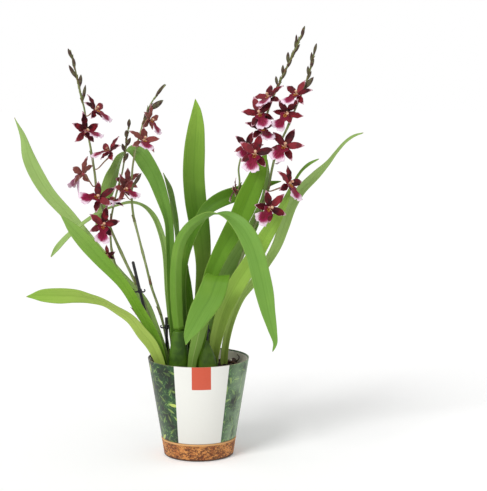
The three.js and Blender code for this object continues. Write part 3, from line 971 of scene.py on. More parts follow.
@dataclass(frozen=True)
class PrintFinish:
    """Glossy paper printed with plain foliage, a blank white panel and a plain red tab."""

    name: str = "printed_paper"
    radius: float = 52.0
    top: float = 117.6
    foot: float = 22.2
    foot_radius: float = 44.7
    top_radius: float = 60.3
    panel_left: Pair = (-24.1, -28.4)
    panel_right: Pair = (28.8, 40.5)
    panel_fade: float = 0.25
    tab_middle: float = 5.0
    tab_half: float = 11.2
    tab_drop: float = 28.0
    # Where the pale haze, partly print and partly painted reflection, fades in and out, in
    # millimetres round from the front.
    reflection_left: Pair = (26.0, 54.0)
    reflection_right: Pair = (112.0, 72.0)
    scatters: tuple[LeafScatter, ...] = (
        LeafScatter(11.0, 0.5, 0.16, 3.1, "#2c6233", "#16391d"),
        LeafScatter(7.5, 0.52, 0.15, 7.7, "#38733a", "#1f4a24"),
        LeafScatter(12.0, 0.5, 0.12, 1.3, "#4d8038", "#8aa64e"),
        LeafScatter(5.5, 0.45, 0.13, 5.9, "#1c4522", "#6b9a48"),
    )
    accents: LeafScatter = LeafScatter(21.0, 0.36, 0.1, 9.4, "#bfd164", "#8fb04a")
    ground: str = "#1f4a24"
    shade: str = "#0a1a10"
    rib: str = "#a3bd74"
    # Colour of that haze: partly print, partly painted reflection.
    reflection_haze: str = "#a3bd98"
    white: str = "#e6e6e0"
    red: str = "#cb5339"
    cut_edge: str = "#8f8468"
    fibre: str = "#c9c4b4"
    relief_mm: float = 0.03
    gloss: float = 0.3

    def foliage(
        self, net: Shader, flat: Value, leaves: LeafScatter
    ) -> tuple[Socket, Socket, Socket]:
        """Scatters one layer of leaves over the paper.

        Args:
            net: The material's nodes.
            flat: Millimetres round and up.
            leaves: The leaves' spacing in millimetres, half their length and width as shares
                of it, and a shift of the whole layer.

        Returns:
            Where the leaves are, where their ribs are, and a random value for each.
        """
        spot = net.vector("MULTIPLY", flat, (1 / leaves.spacing, 1 / leaves.spacing, 0.0))
        spot = net.vector("ADD", spot, (leaves.shift, leaves.shift * 0.37, 0.0))
        cells = net.node(
            "ShaderNodeTexVoronoi",
            {"Vector": spot, "Scale": 1.0, "Randomness": 0.75},
            voronoi_dimensions="2D",
        )
        local = net.vector("SUBTRACT", spot, cells.outputs["Position"])
        chance = net.split(cells.outputs["Color"])
        turned = net.node(
            "ShaderNodeVectorRotate",
            {"Vector": local, "Angle": net.times(chance[0], tau)},
            rotation_type="Z_AXIS",
        )
        x, y, _ = net.split(turned.outputs[0])
        away = net.math("ABSOLUTE", y)
        run = net.math("DIVIDE", net.math("ABSOLUTE", x), leaves.length)
        rest = net.minus(1.0, net.math("POWER", run, 2.0))
        body = net.times(rest, leaves.width)
        inside = net.step(net.minus(body, away), 0.0, 0.02)
        rib = net.times(net.step(away, 0.022, 0.008), inside)
        return inside, rib, chance[1]

    def picture(self, net: Shader, round_mm: Value, up_mm: Value) -> Socket:
        """Colour of the printed foliage, lit in patches, lighter towards the right and hazy in one
        band there; that lighter haze is partly print and partly a painted reflection of the light
        on the glossy paper.

        Args:
            net: The material's nodes.
            round_mm: Millimetres round from the front.
            up_mm: Millimetres up.

        Returns:
            The colour.
        """
        flat = net.join(round_mm, up_mm)
        clouds = net.noise(flat, 0.05, 3.0)
        # Lighter towards the right: partly the print, partly a painted reflection of the light on
        # the glossy paper.
        bright_right_side = net.times(net.step(round_mm, 20.0, 50.0), 0.12)
        lit = net.step(net.plus(clouds, bright_right_side), 0.38, 0.62)
        skin = net.mix(lit, self.shade, self.ground)
        for leaves in self.scatters:
            inside, rib, chance = self.foliage(net, flat, leaves)
            tinted = net.mix(chance, leaves.body, leaves.light)
            tinted = net.cover(tinted, self.rib, rib, 0.4)
            dusk = net.mix(0.72, tinted, self.shade)
            shown = net.times(inside, net.step(chance, 0.25, 0.3))
            skin = net.mix(shown, skin, net.mix(lit, dusk, tinted))
        inside, rib, chance = self.foliage(net, flat, self.accents)
        accent = net.times(inside, net.step(chance, 0.74, 0.76))
        skin = net.mix(accent, skin, net.cover(self.accents.body, self.accents.light, rib, 0.5))
        # Pale haze in a band on the right: partly the print, partly a painted reflection on the
        # glossy paper.
        reflection_band = net.times(
            net.step(round_mm, *self.reflection_left), net.step(round_mm, *self.reflection_right)
        )
        reflection_haze = net.times(reflection_band, net.step(clouds, 0.25, 0.6))
        return net.cover(skin, self.reflection_haze, reflection_haze, 0.5)

    def at_height(self, net: Shader, up_mm: Value, low: float, high: float) -> Socket:
        """Value at a height that runs evenly from the sleeve's foot to its top."""
        rise = (high - low) / (self.top - self.foot)
        return net.scaled(up_mm, rise, low - rise * self.foot)

    def label(self, net: Shader, skin: Value, turn: Value, up_mm: Value) -> Socket:
        """Lays the blank panel and the tab over the picture.

        Args:
            net: The material's nodes.
            skin: The picture's colour.
            turn: Angle from the front, in radians.
            up_mm: Millimetres up.

        Returns:
            The colour with both laid over.
        """
        radius = self.at_height(net, up_mm, self.foot_radius, self.top_radius)
        across = net.times(turn, radius)
        left = net.minus(across, self.at_height(net, up_mm, *self.panel_left))
        right = net.minus(self.at_height(net, up_mm, *self.panel_right), across)
        panel = net.times(
            net.step(left, 0.0, self.panel_fade), net.step(right, 0.0, self.panel_fade)
        )
        skin = net.mix(panel, skin, self.white)
        low = self.top - self.tab_drop
        off = net.math("ABSOLUTE", net.minus(across, self.tab_middle))
        beside = net.step(off, self.tab_half + 0.2, self.tab_half)
        tab = net.times(beside, net.step(up_mm, low, low + 0.3))
        return net.mix(tab, skin, self.red)

    def material(self) -> Material:
        """Builds the material.

        Returns:
            The material.
        """
        net = Shader(self.name)
        place = net.position()
        x, y, z = net.split(place)
        turn = net.math("ARCTAN2", x, net.times(y, -1.0))
        round_mm = net.times(turn, self.radius)
        up_mm = net.math("DIVIDE", z, MM)
        skin = self.label(net, self.picture(net, round_mm, up_mm), turn, up_mm)
        cut = net.step(up_mm, self.top - 0.5, self.top - 0.25)
        skin = net.cover(skin, self.cut_edge, cut, 0.5)
        fibre = net.noise(place, 900.0, 3.0)
        skin = net.cover(skin, self.fibre, fibre, 0.05)
        rough = net.scaled(fibre, 0.14, 0.32)
        fixed = {"Coat Weight": 0.08, "Coat Roughness": 0.2}
        return net.surface(skin, rough, net.bump(fibre, self.relief_mm), self.gloss, fixed)


@dataclass(frozen=True)
class CorkFinish:
    """Cork: warm crumbs, dark curled pores, a painted highlight on the upper lip and a painted
    shadow line at the foot.
    """

    name: str = "cork"
    warm: str = "#dd9850"
    tan: str = "#c27a3c"
    deep: str = "#a9612c"
    pore: str = "#5e3014"
    # lip is the colour of the painted highlight on the upper lip; foot is the colour of the painted
    # shadow line at the foot.
    lip: str = "#d8a368"
    foot: str = "#4a2a18"
    top: float = 21.7
    lip_highlight_low: float = 2.4
    lip_highlight_high: float = 1.8
    foot_shadow_high: float = 3.4
    foot_shadow_low: float = 1.6
    squash: Triple = (1.0, 1.0, 1.9)
    relief_mm: float = 0.25

    def material(self) -> Material:
        """Builds the material.

        Returns:
            The material.
        """
        net = Shader(self.name)
        place = net.position()
        crumbs = net.node("ShaderNodeTexVoronoi", {"Vector": place, "Scale": 420.0})
        tint = net.split(crumbs.outputs["Color"])[0]
        clouds = net.noise(place, 95.0, 4.0)
        wide = net.vector("MULTIPLY", place, self.squash)
        curls = net.minus(net.noise(wide, 190.0, 4.0), 0.5)
        line = net.step(net.math("ABSOLUTE", curls), 0.06, 0.03)
        pores = net.times(line, net.step(clouds, 0.34, 0.46))
        flecks = net.step(net.noise(wide, 420.0, 2.0), 0.6, 0.65)
        marks = net.math("MAXIMUM", pores, flecks)
        height = net.math("DIVIDE", net.split(place)[2], MM)
        lip = net.step(height, self.top - self.lip_highlight_low, self.top - self.lip_highlight_high)
        skin = net.mix(tint, self.warm, self.tan)
        skin = net.mix(net.step(clouds, 0.46, 0.66), skin, self.deep)
        skin = net.cover(skin, self.pore, marks, 0.92)
        # Painted highlight on the upper lip, then a painted shadow line along the foot.
        skin = net.mix(lip, skin, self.lip)
        skin = net.mix(net.step(height, self.foot_shadow_high, self.foot_shadow_low), skin, self.foot)
        relief = net.minus(net.times(tint, 0.4), marks)
        rough = net.scaled(clouds, 0.2, 0.55)
        return net.surface(skin, rough, net.bump(relief, self.relief_mm))


@dataclass(frozen=True)
class BarkFinish:
    """Damp bark chips, each with its own brown, split along the grain."""

    name: str = "bark_chips"
    dark: str = "#2c1c13"
    brown: str = "#5a3a25"
    worn: str = "#8b6443"
    split: str = "#1a100b"
    grain: Triple = (1.0, 0.3, 1.4)
    relief_mm: float = 0.8

    def material(self) -> Material:
        """Builds the material.

        Returns:
            The material.
        """
        net = Shader(self.name)
        place = net.position()
        splits = net.noise(net.vector("MULTIPLY", place, self.grain), 420.0, 5.0)
        crust = net.noise(place, 210.0, 5.0)
        skin = net.mix(net.attribute("tone"), self.dark, self.brown)
        skin = net.mix(net.step(crust, 0.52, 0.78), skin, self.worn)
        skin = net.mix(net.step(splits, 0.5, 0.36), skin, self.split)
        rough = net.scaled(crust, 0.25, 0.62)
        relief = net.plus(splits, crust)
        return net.surface(skin, rough, net.bump(relief, self.relief_mm))


@dataclass(frozen=True)
class StakeFinish:
    """Black plastic with faint mould lines and handling marks."""

    name: str = "black_plastic"
    black: str = "#0c0d0f"
    worn: str = "#222428"
    dust: str = "#5a5a58"
    stretch: Triple = (1.0, 1.0, 0.1)
    relief_mm: float = 0.05

    def material(self) -> Material:
        """Builds the material.

        Returns:
            The material.
        """
        net = Shader(self.name)
        place = net.position()
        marks = net.noise(net.vector("MULTIPLY", place, self.stretch), 600.0, 3.0)
        dust = net.noise(place, 90.0, 4.0)
        skin = net.mix(net.step(marks, 0.5, 0.8), self.black, self.worn)
        skin = net.cover(skin, self.dust, net.step(dust, 0.55, 0.8), 0.25)
        rough = net.scaled(marks, 0.2, 0.28)
        return net.surface(skin, rough, net.bump(marks, self.relief_mm))


@dataclass(frozen=True)
class FloorFinish:
    """Matt studio paper with a faint tooth."""

    name: str = "studio_paper"
    paper: str = "#fbfbfa"
    white: str = "#ffffff"
    glow: float = 0.09
    rough: float = 0.9
    relief_mm: float = 0.02

    def material(self) -> Material:
        """Builds the material.

        Returns:
            The material.
        """
        net = Shader(self.name)
        tooth = net.noise(net.position(), 900.0, 2.0)
        skin = net.mix(tooth, self.paper, self.white)
        fixed = {"Emission Color": self.white, "Emission Strength": self.glow}
        return net.surface(skin, self.rough, net.bump(tooth, self.relief_mm), fixed=fixed)


class Assembly(Protocol):
    """A sub-assembly that makes its own object."""

    def build(self) -> Object:
        """Makes the object that stands for its node."""


@dataclass(frozen=True)
class Station:
    """A leaf's blade at one share of its route."""

    middle: Vector
    across: Vector
    normal: Vector
    width: float
    fold: float


@dataclass
class Leaf:
    """A strap leaf, folded along its midrib, through rows of x, y, z, width and any roll."""

    node: str
    rows: Sequence[Row]
    finish: LeafFinish
    folded: float = 1.0
    roll_axis: Row = (0, 1, 0)
    slot: str = "leaf"
    thick: float = 0.8
    columns: int = 14
    stations: int = 104
    fold: float = 0.12
    foot_fold: float = 0.3
    foot_share: float = 0.4
    fold_round: float = 0.02
    fold_start: float = 0.1414
    fold_span: float = 0.8685
    rib: float = 0.4
    rib_inside: float = 0.4
    rib_half: float = 0.05
    rib_width: float = 8.0
    ripple: float = 0.28
    ripple_pace: float = 6.1
    ripple_lag: float = 1.7
    pleat: float = 0.1
    pleat_width: float = 12.0
    tip_share: float = 0.03

    def station(self, route: Route, share: float) -> Station:
        """Lays out the blade at a share of its route.

        Args:
            route: The blade's route.
            share: Share along it.

        Returns:
            The blade there.
        """
        way = route.tangent(share)
        level = Vector(self.roll_axis).cross(way).normalized()
        upright = level.cross(way)
        roll = radians(route.value(share, 1))
        across = level * cos(roll) + upright * sin(roll)
        normal = upright * cos(roll) - level * sin(roll)
        fold = mix(self.foot_fold, self.fold, min(1.0, share / self.foot_share)) * self.folded
        end = 1 - max(0.0, (share - 1 + self.tip_share) / self.tip_share) ** 2
        width = route.value(share) * sqrt(max(end, 1e-4))
        return Station(route.point(share), across, normal, width, fold)

    def lift(self, spot: Station, across: float, run: float) -> float:
        """How far the folded, pleated and rippled blade stands off its route.

        Args:
            spot: The blade there.
            across: Share across, -1 to 1.
            run: Millimetres along the leaf.

        Returns:
            The millimetres along the normal.
        """
        soft = (sqrt(across ** 2 + self.fold_round) - self.fold_start) / self.fold_span
        lag = sum(map(ord, self.node)) % 7 + copysign(self.ripple_lag, across)
        edge = abs(across) ** 3 * sin(run / self.ripple_pace + lag)
        pleat = self.pleat * cos(5 * pi * across)
        pleat *= min(1.0, spot.width / self.pleat_width)
        return spot.fold * spot.width * soft + self.folded * (self.ripple * edge + pleat)

    def crease(self, piece: Piece, verts: Verts, spots: Sequence[Station]) -> None:
        """Deepens the midrib, and marks the sides of a leaf that shows its back.

        Args:
            piece: The leaf's piece.
            verts: The blade's vertices.
            spots: The blade at each station.
        """
        across, along, under = (piece.layer[name] for name in ("across", "along", "under"))
        for vert in verts:
            spot = spots[round(vert[along] * self.stations)]
            if abs(vert[across]) < self.rib_half:
                slim = min(1.0, spot.width / self.rib_width)
                outside = (vert[under] > 0.5) == (self.folded > 0)
                down = spot.normal * self.folded * self.rib * slim
                vert.co -= down * (1.0 if outside else self.rib_inside)
            if self.folded < 0:
                vert[under] = 1 - vert[under]

    def build(self) -> Object:
        """Makes the leaf.

        Returns:
            The object.
        """
        route = Route([(*row, 0)[:5] for row in self.rows])
        spots = [self.station(route, i / self.stations) for i in range(self.stations + 1)]
        reach = [0.0]
        for here, there in zip(spots, spots[1:]):
            reach.append(reach[-1] + (there.middle - here.middle).length)

        def place(across: float, along: float) -> Vector:
            """Point on the blade's middle layer.

            Args:
                across: Share across, -1 to 1.
                along: Share along.

            Returns:
                The point.
            """
            index = round(along * self.stations)
            spot = spots[index]
            flat = spot.middle + spot.across * (across * spot.width / 2)
            return flat + spot.normal * self.lift(spot, across, reach[index])

        def measure(across: float, along: float) -> Pair:
            """Millimetres across and along."""
            index = round(along * self.stations)
            return across * spots[index].width / 2, reach[index]

        piece = Piece(self.node, [self.finish])
        verts = piece.sheet(place, self.columns, self.stations, self.thick, measure=measure)
        self.crease(piece, verts, spots)
        return piece.finish(self.slot)


class Growth(IntEnum):
    """A spike's finishes by number."""

    STEM = 0
    BRACT = 1
    BUD = 2


@dataclass
class Spike:
    """A flower spike: its stem, joints with bracts, and buds."""

    node: str
    rows: Sequence[Row]
    buds: Sequence[Row]
    finishes: tuple[Finish, ...] = (
        StemFinish(),
        SpeckledFinish("bract", "#6f7a46", "#75553f", scale=140.0),
        SpeckledFinish("bud", "#5d5c3e", "#47302a", scale=190.0, high=0.6),
    )
    sides: int = 12
    stations: int = 144
    first_joint: float = 128.0
    joint_gap: float = 38.0
    bare_top: float = 30.0
    joint_swell: float = 0.18
    joint_sharpness: float = 70.0
    bract_length: float = 13.0
    bract_turn: float = 2.4
    bract_wrap: float = 2.0
    bract_gap: float = 0.35
    bract_flare: float = 1.1
    bract_taper: float = 0.55
    bract_thick: float = 0.3
    bud_bracts: tuple[Row, ...] = ((0.0, 0.0, 6.5), (5.0, pi, 6.0))
    bud_lean: float = 2.0
    bud_shift: float = 0.3
    bud_seam: float = 0.09
    bud_swell: tuple[Row, ...] = (
        (0, 0.35), (0.14, 0.34), (0.24, 0.6), (0.4, 0.95), (0.58, 1.05), (0.76, 0.86),
        (0.9, 0.5), (1, 0.06),
    )

    def joints(self, route: Route) -> list[float]:
        """Shares at which the stem has its joints.

        Args:
            route: The stem's route.

        Returns:
            The shares.
        """
        top = route.points[-1].z - self.bare_top
        heights = []
        height = self.first_joint
        while height < top:
            heights.append(height)
            height += self.joint_gap
        return [route.share_at(z) for z in heights]

    def bract(self, piece: Piece, route: Route, share: float, side: float, length: float) -> None:
        """Wraps a pointed bract round the stem.

        Args:
            piece: The spike's piece.
            route: The stem's route.
            share: Where the bract's foot is.
            side: Which way it faces, in radians.
            length: Its length.
        """
        way = route.tangent(share)
        right = way.orthogonal().normalized()
        up = way.cross(right)
        radius = route.value(share)
        foot = route.point(share)
        aim = cos(side) * right + sin(side) * up
        beside = way.cross(aim)

        def place(across: float, along: float) -> Vector:
            """Point on the bract.

            Args:
                across: Share across, -1 to 1.
                along: Share along.

            Returns:
                The point.
            """
            angle = across * self.bract_wrap * (1 - along) ** 0.6
            out = radius + self.bract_gap + self.bract_flare * along ** 2
            wide = sin(angle) * out * (1 - self.bract_taper * along)
            return foot + way * (length * along) + aim * (cos(angle) * out) + beside * wide

        piece.sheet(place, 6, 8, self.bract_thick, Growth.BRACT)

    def bud(self, piece: Piece, route: Route, row: Row) -> None:
        """Grows a pointed bud with three seams on a short stalk.

        Args:
            piece: The spike's piece.
            route: The stem's route.
            row: X and z of its foot, x and z of its tip, and its radius.
        """
        x, z, tip_x, tip_z, radius = row
        foot = route.point(route.share_at(z))
        tip = Vector((tip_x, foot.y - self.bud_lean, tip_z))
        foot.x = mix(foot.x, x, self.bud_shift)
        rows = [(*foot.lerp(tip, share), radius * swell) for share, swell in self.bud_swell]

        def seams(turn: float, along: float) -> float:
            """Factor that sinks three seams, which run out at the foot."""
            depth = self.bud_seam * min(1, 4 * along)
            return 1 - depth * (0.5 + 0.5 * cos(3 * tau * turn))

        piece.tube(rows, 12, 18, Growth.BUD, swell=seams)

    def build(self) -> Object:
        """Makes the spike.

        Returns:
            The object.
        """
        piece = Piece(self.node, self.finishes)
        route = Route(self.rows)
        joints = self.joints(route)

        def swell(_: float, along: float) -> float:
            """Factor that thickens the stem at its joints."""
            near = min((abs(along - joint) for joint in joints), default=1.0)
            return 1 + self.joint_swell * exp(-((near * self.joint_sharpness) ** 2))

        piece.tube(self.rows, self.sides, self.stations, Growth.STEM, swell=swell)
        for i, joint in enumerate(joints):
            self.bract(piece, route, joint, self.bract_turn * i, self.bract_length - min(i, 5))
        for i, row in enumerate(self.buds):
            for above, turn, length in self.bud_bracts:
                share = route.share_at(row[1] + above)
                self.bract(piece, route, share, self.bract_turn * i + turn, length)
            self.bud(piece, route, row)
        return piece.finish("stem")


class Skin(IntEnum):
    """A bloom's finishes by number."""

    PETAL = 0
    LIP = 1
    CREST = 2
    COLUMN = 3
    HEART = 4
    STALK = 5


@dataclass(frozen=True)
class Tepal:
    """A sepal or petal: its size, its angle from up and how it bends."""

    length: float
    width: float
    angle: float
    lift: float
    cup: float = 6.0
    heel: float = 0.03
    bow: float = 0.8
    dish: float = 0.9
    ruffle: float = 0.5
    curl: float = 1.3
    groove: float = 0.25
    groove_half: float = 0.18
    foot_swell: float = 0.2
    blunt: float = 0.012
    wave: float = 0.035
    belly: float = 0.2506

    def half(self, along: float, seed: float) -> float:
        """Half the width at a share along, with a waved edge.

        Args:
            along: Share along.
            seed: Shifts the waves.

        Returns:
            Half the width.
        """
        body = along ** 0.95 * (1 - along) ** 1.05 / self.belly if 0 < along < 1 else 0.0
        body += self.foot_swell * (1 - along) ** 5 + self.blunt
        return body * self.width / 2 * (1 + self.wave * sin(19 * along + seed))

    def point(self, across: float, along: float, seed: float) -> Vector:
        """Point on the middle layer, in the bloom's own axes.

        Args:
            across: Share across, -1 to 1.
            along: Share along, 0 to 1.
            seed: Shifts the waves.

        Returns:
            The point.
        """
        angle = radians(self.angle)
        out = Vector((sin(angle), cos(angle), 0))
        right = Vector((out.y, -out.x, 0))
        run = mix(self.heel, 1.0, along)
        lift = self.lift + self.length * run * sin(radians(self.cup))
        lift += self.bow * sin(pi * run)
        lift += self.dish * across ** 2 * sin(pi * min(1, along * 1.1))
        wave = sin(along * 17 + seed + copysign(1.3, across))
        lift += self.ruffle * abs(across) ** 3 * wave * sin(pi * along)
        lift -= self.curl * along ** 5
        lift -= self.groove * exp(-((across / self.groove_half) ** 2))
        flat = out * (self.length * run) + right * (across * self.half(along, seed))
        return flat + Vector((0, 0, lift))


@dataclass
class Lip:
    """The fiddle-shaped lip with its ruffled, notched blade, through rows of x, y, z, width."""

    rows: tuple[Row, ...] = (
        (0, -0.5, 1.2, 5.4), (0, -2.6, 3.1, 11), (0, -4.7, 4.6, 14), (0, -7.2, 6.2, 11),
        (0, -9.9, 7.6, 8.2), (0, -13, 9.2, 12.5), (0, -16.4, 10.4, 18), (0, -19.6, 11, 19.8),
        (0, -22.2, 11.3, 17), (0, -24, 11.3, 12.5),
    )
    scallop: float = 0.05
    foot_trough: float = 1.2
    blade_trough: float = 0.9
    wave: float = 0.8
    hem: float = 0.55
    notch: float = 2.2
    notch_half: float = 0.22
    corner: float = 1.4

    def __post_init__(self) -> None:
        """Lays the lip's route."""
        self.route = Route(self.rows)

    def point(self, across: float, along: float, seed: float) -> Vector:
        """Point on the middle layer, in the bloom's own axes.

        Args:
            across: Share across, -1 to 1.
            along: Share along, 0 to 1.
            seed: Shifts the waves.

        Returns:
            The point.
        """
        front = self.route.tangent(along).cross(Vector((1, 0, 0)))
        blade = ease(0.5, 0.75, along)
        scallop = 1 + self.scallop * blade * sin(31 * along + seed)
        half = self.route.value(along) / 2 * scallop
        wave = blade * across ** 2 * sin(24 * along + seed + copysign(2, across))
        hem = ease(0.86, 1, along) * sin(9 * across + seed)
        lift = across ** 2 * mix(self.foot_trough, self.blade_trough, blade)
        lift += self.wave * wave + self.hem * hem
        notch = ease(0.8, 1, along) * self.notch * exp(-((across / self.notch_half) ** 2))
        corner = ease(0.7, 1, along) * self.corner * across ** 4
        spot = self.route.point(along) + Vector((0, notch + corner, 0))
        return spot - Vector((across * half, 0, 0)) + front * lift


@dataclass(frozen=True)
class Heart:
    """The middle of a bloom: the hub, the column with its cap and ears, and a toothed crest."""

    hub: tuple[Row, ...] = (
        (0, 0, -3.4, 0.9), (0, 0, -2, 1.7), (0, 0, -0.2, 2.3), (0, 0, 1.1, 2.1), (0, 0.2, 1.9, 1.1),
    )
    column: tuple[Row, ...] = (
        (0, 0.3, 0.4, 1.9), (0, 1, 2.6, 1.55), (0, 1.6, 5, 1.5), (0, 1.9, 6.6, 1.75),
        (0, 1.8, 7.7, 1.2), (0, 1.6, 8.1, 0.02),
    )
    cap: tuple[Row, Row] = ((0, 1.2, 7.7), (1.25, 1.1, 0.95, 1))
    ear: tuple[Row, Row] = ((1.9, 1.5, 6.3), (0.75, 1.25, 0.5, 1))
    horn: tuple[Row, ...] = ((0.6, -1.1, 3, 0.55), (2.3, -1, 4, 0.4), (4, -0.9, 4.2, 0.08))
    teeth: tuple[Row, ...] = (
        (0, -1.3, 3.2, 1.9), (-1.1, -2.2, 3.7, 1.6), (1.1, -2.2, 3.7, 1.6), (0, -3.2, 4.3, 1.8),
        (-1.5, -3.7, 4.6, 1.3), (1.5, -3.7, 4.6, 1.3), (-0.7, -4.9, 5.2, 1.2),
        (0.7, -4.9, 5.2, 1.2),
    )

    def build(self, piece: Piece, matrix: Matrix, swung: Matrix) -> None:
        """Makes the heart.

        Args:
            piece: The bloom's piece.
            matrix: Places the bloom's axes.
            swung: Places the lip's axes.
        """
        piece.tube(self.hub, 12, 10, Skin.HEART, 0.2, matrix)
        piece.tube(self.column, 12, 14, Skin.COLUMN, 0.0, matrix)
        spot, size = self.cap
        piece.ball(matrix @ Matrix.Translation(spot) @ Matrix.Diagonal(size), Skin.COLUMN, 1.0)
        (x, y, z), size = self.ear
        for side in (-1, 1):
            ear = Matrix.Translation((x * side, y, z)) @ Matrix.Diagonal(size)
            piece.ball(matrix @ ear, Skin.HEART, 0.0, 8)
            horn = [(side * row[0], *row[1:]) for row in self.horn]
            piece.tube(horn, 6, 6, Skin.COLUMN, 1.0, swung)
        for x, y, z, height in self.teeth:
            tooth = [
                (x, y, z - 0.8, 0.55),
                (x * 1.15, y - 0.2, z + height * 0.5, 0.42),
                (x * 1.3, y - 0.9, z + height, 0.1),
            ]
            piece.tube(tooth, 6, 5, Skin.CREST, 0.0, swung)


@dataclass
class Bloom:
    """One open flower with its stalk."""

    node: str
    middle: Row
    turn: float
    tilt: float
    roll: float
    size: float
    bearer: Sequence[Row]
    foot: float
    swing: float = 0.0
    tone: float = 0.0
    thick: float = 0.5
    tepals: tuple[Tepal, ...] = (
        Tepal(24.5, 8.9, 0, -0.85),
        Tepal(22, 8.6, 64, 0.85, 9),
        Tepal(22, 8.6, -64, 0.85, 9),
        Tepal(18.3, 7.9, 128, -0.85, 2),
        Tepal(18.3, 7.9, -128, -0.85, 2),
    )
    finishes: tuple[Finish, ...] = (
        PetalFinish(),
        LipFinish(),
        SpeckledFinish("crest", "#e2a23c", "#a3541f", scale=420.0, rough=0.35),
        SpeckledFinish("column", "#e6c8a4", "#cc9176", scale=380.0, rough=0.35),
        SpeckledFinish("heart", "#a5434a", "#6e1a2c", scale=300.0),
        SpeckledFinish("flower_stalk", "#9a7c58", "#7a4a40", scale=170.0),
    )
    stalk_radii: tuple[float, ...] = (0.8, 0.75, 0.95, 1.25, 1.5)
    stalk_sunk: float = 0.6
    stalk_reach: float = 2.5
    stalk_back: float = -4.0
    stalk_end: float = -1.2
    stalk_least: float = 0.7
    rib: float = 0.08

    @property
    def matrix(self) -> Matrix:
        """Places the bloom's own axes, x right, y up and z to the front, on the plant.

        Returns:
            The matrix.
        """
        return (
            Matrix.Translation(self.middle)
            @ Matrix.Rotation(radians(self.turn), 4, "Z")
            @ Matrix.Rotation(radians(90 - self.tilt), 4, "X")
            @ Matrix.Rotation(radians(-self.roll), 4, "Z")
            @ Matrix.Scale(self.size, 4)
        )

    def stalk(self, piece: Piece) -> None:
        """Makes the stalk, from the stem to the back of the bloom, with a ribbed ovary.

        Args:
            piece: The bloom's piece.
        """
        route = Route(self.bearer)
        share = route.share_at(self.foot)
        root = route.point(share)
        way = route.tangent(share)
        radius = route.value(share)
        back = self.matrix @ Vector((0, 0, self.stalk_back))
        off = back - root
        off = (off - way * off.dot(way)).normalized()
        start = root + off * (self.stalk_sunk * radius)
        bend = root + off * (radius + self.stalk_reach)
        end = self.matrix @ Vector((0, 0, self.stalk_end))
        points = (start, bend, bend.lerp(back, 0.5), back, end)
        scale = max(self.size, self.stalk_least)
        rows = [(*p, r * scale) for p, r in zip(points, self.stalk_radii)]

        def ribs(turn: float, along: float) -> float:
            """Factor that raises six ribs on the ovary."""
            return 1 + self.rib * cos(6 * tau * turn) * ease(0.4, 0.7, along)

        piece.tube(rows, 12, 22, Skin.STALK, swell=ribs)

    def build(self) -> Object:
        """Makes the bloom.

        Returns:
            The object.
        """
        piece = Piece(self.node, self.finishes)
        seed = sum(map(ord, self.node)) % 11 / 1.7
        swung = self.matrix @ Matrix.Rotation(radians(-self.swing), 4, "X")
        for i, shape in enumerate(self.tepals):
            own = seed + 1.3 * i
            place = partial(shape.point, seed=own)
            tone = self.tone + 0.03 * own
            piece.sheet(place, 10, 20, self.thick, Skin.PETAL, tone, self.matrix)
        place = partial(Lip().point, seed=seed)
        piece.sheet(place, 16, 30, self.thick, Skin.LIP, 0.1 * seed, swung)
        Heart().build(piece, self.matrix, swung)
        self.stalk(piece)
        return piece.finish("petal")


@dataclass
class Pseudobulb:
    """A swollen stem base with ridges, held by dry sheaths."""

    node: str
    rows: Sequence[Row]
    light: str
    dark: str
    sides: int = 36
    stations: int = 48
    shoulder: float = 0.93
    ridge: float = 0.02
    sheaths: tuple[Row, ...] = ((0.4, 0.62), (pi - 0.5, 0.5))
    sheath_wrap: float = 1.35
    sheath_gap: float = 0.55
    sheath_flare: float = 0.5
    sheath_thick: float = 0.3

    def build(self) -> Object:
        """Makes the pseudobulb.

        Returns:
            The object.
        """
        skin = SpeckledFinish(self.node + "_skin", self.light, self.dark, scale=70.0, rough=0.32)
        sheath = SpeckledFinish("sheath", "#4f7a2c", "#35561f", scale=90.0, rough=0.4)
        piece = Piece(self.node, [skin, sheath])
        route = Route(self.rows)

        def place(turn: float, along: float) -> Vector:
            """Point on the skin.

            Args:
                turn: Share round.
                along: Share along.

            Returns:
                The point.
            """
            angle = tau * turn
            close = sqrt(max(0.0, 1 - ease(self.shoulder, 1.0, along)))
            close *= 1 + self.ridge * cos(9 * angle) * close
            half, deep = (route.value(along, column) * close for column in (0, 1))
            return route.point(along) + Vector((half * cos(angle), deep * sin(angle), 0))

        piece.wrap(place, self.sides, self.stations)
        low, top = self.rows[0][2], self.rows[-1][2]
        for facing, reach in self.sheaths:
            self.flap(piece, route, facing, mix(low, top, reach))
        return piece.finish("pseudobulb")

    def flap(self, piece: Piece, route: Route, facing: float, height: float) -> None:
        """Wraps a pointed sheath round the foot of the bulb.

        Args:
            piece: The bulb's piece.
            route: The bulb's route.
            facing: Which way the sheath faces, in radians.
            height: Height of its point.
        """

        def place(across: float, along: float) -> Vector:
            """Point on the sheath.

            Args:
                across: Share across, -1 to 1.
                along: Share along.

            Returns:
                The point.
            """
            z = mix(route.points[0].z, height, along)
            share = route.share_at(z)
            spot = route.point(share)
            angle = facing + across * self.sheath_wrap * (1 - along) ** 0.55
            out = self.sheath_gap + self.sheath_flare * along ** 2
            half, deep = (route.value(share, column) + out for column in (0, 1))
            return Vector((spot.x + half * cos(angle), spot.y + deep * sin(angle), z))

        piece.sheet(place, 10, 12, self.sheath_thick, 1)


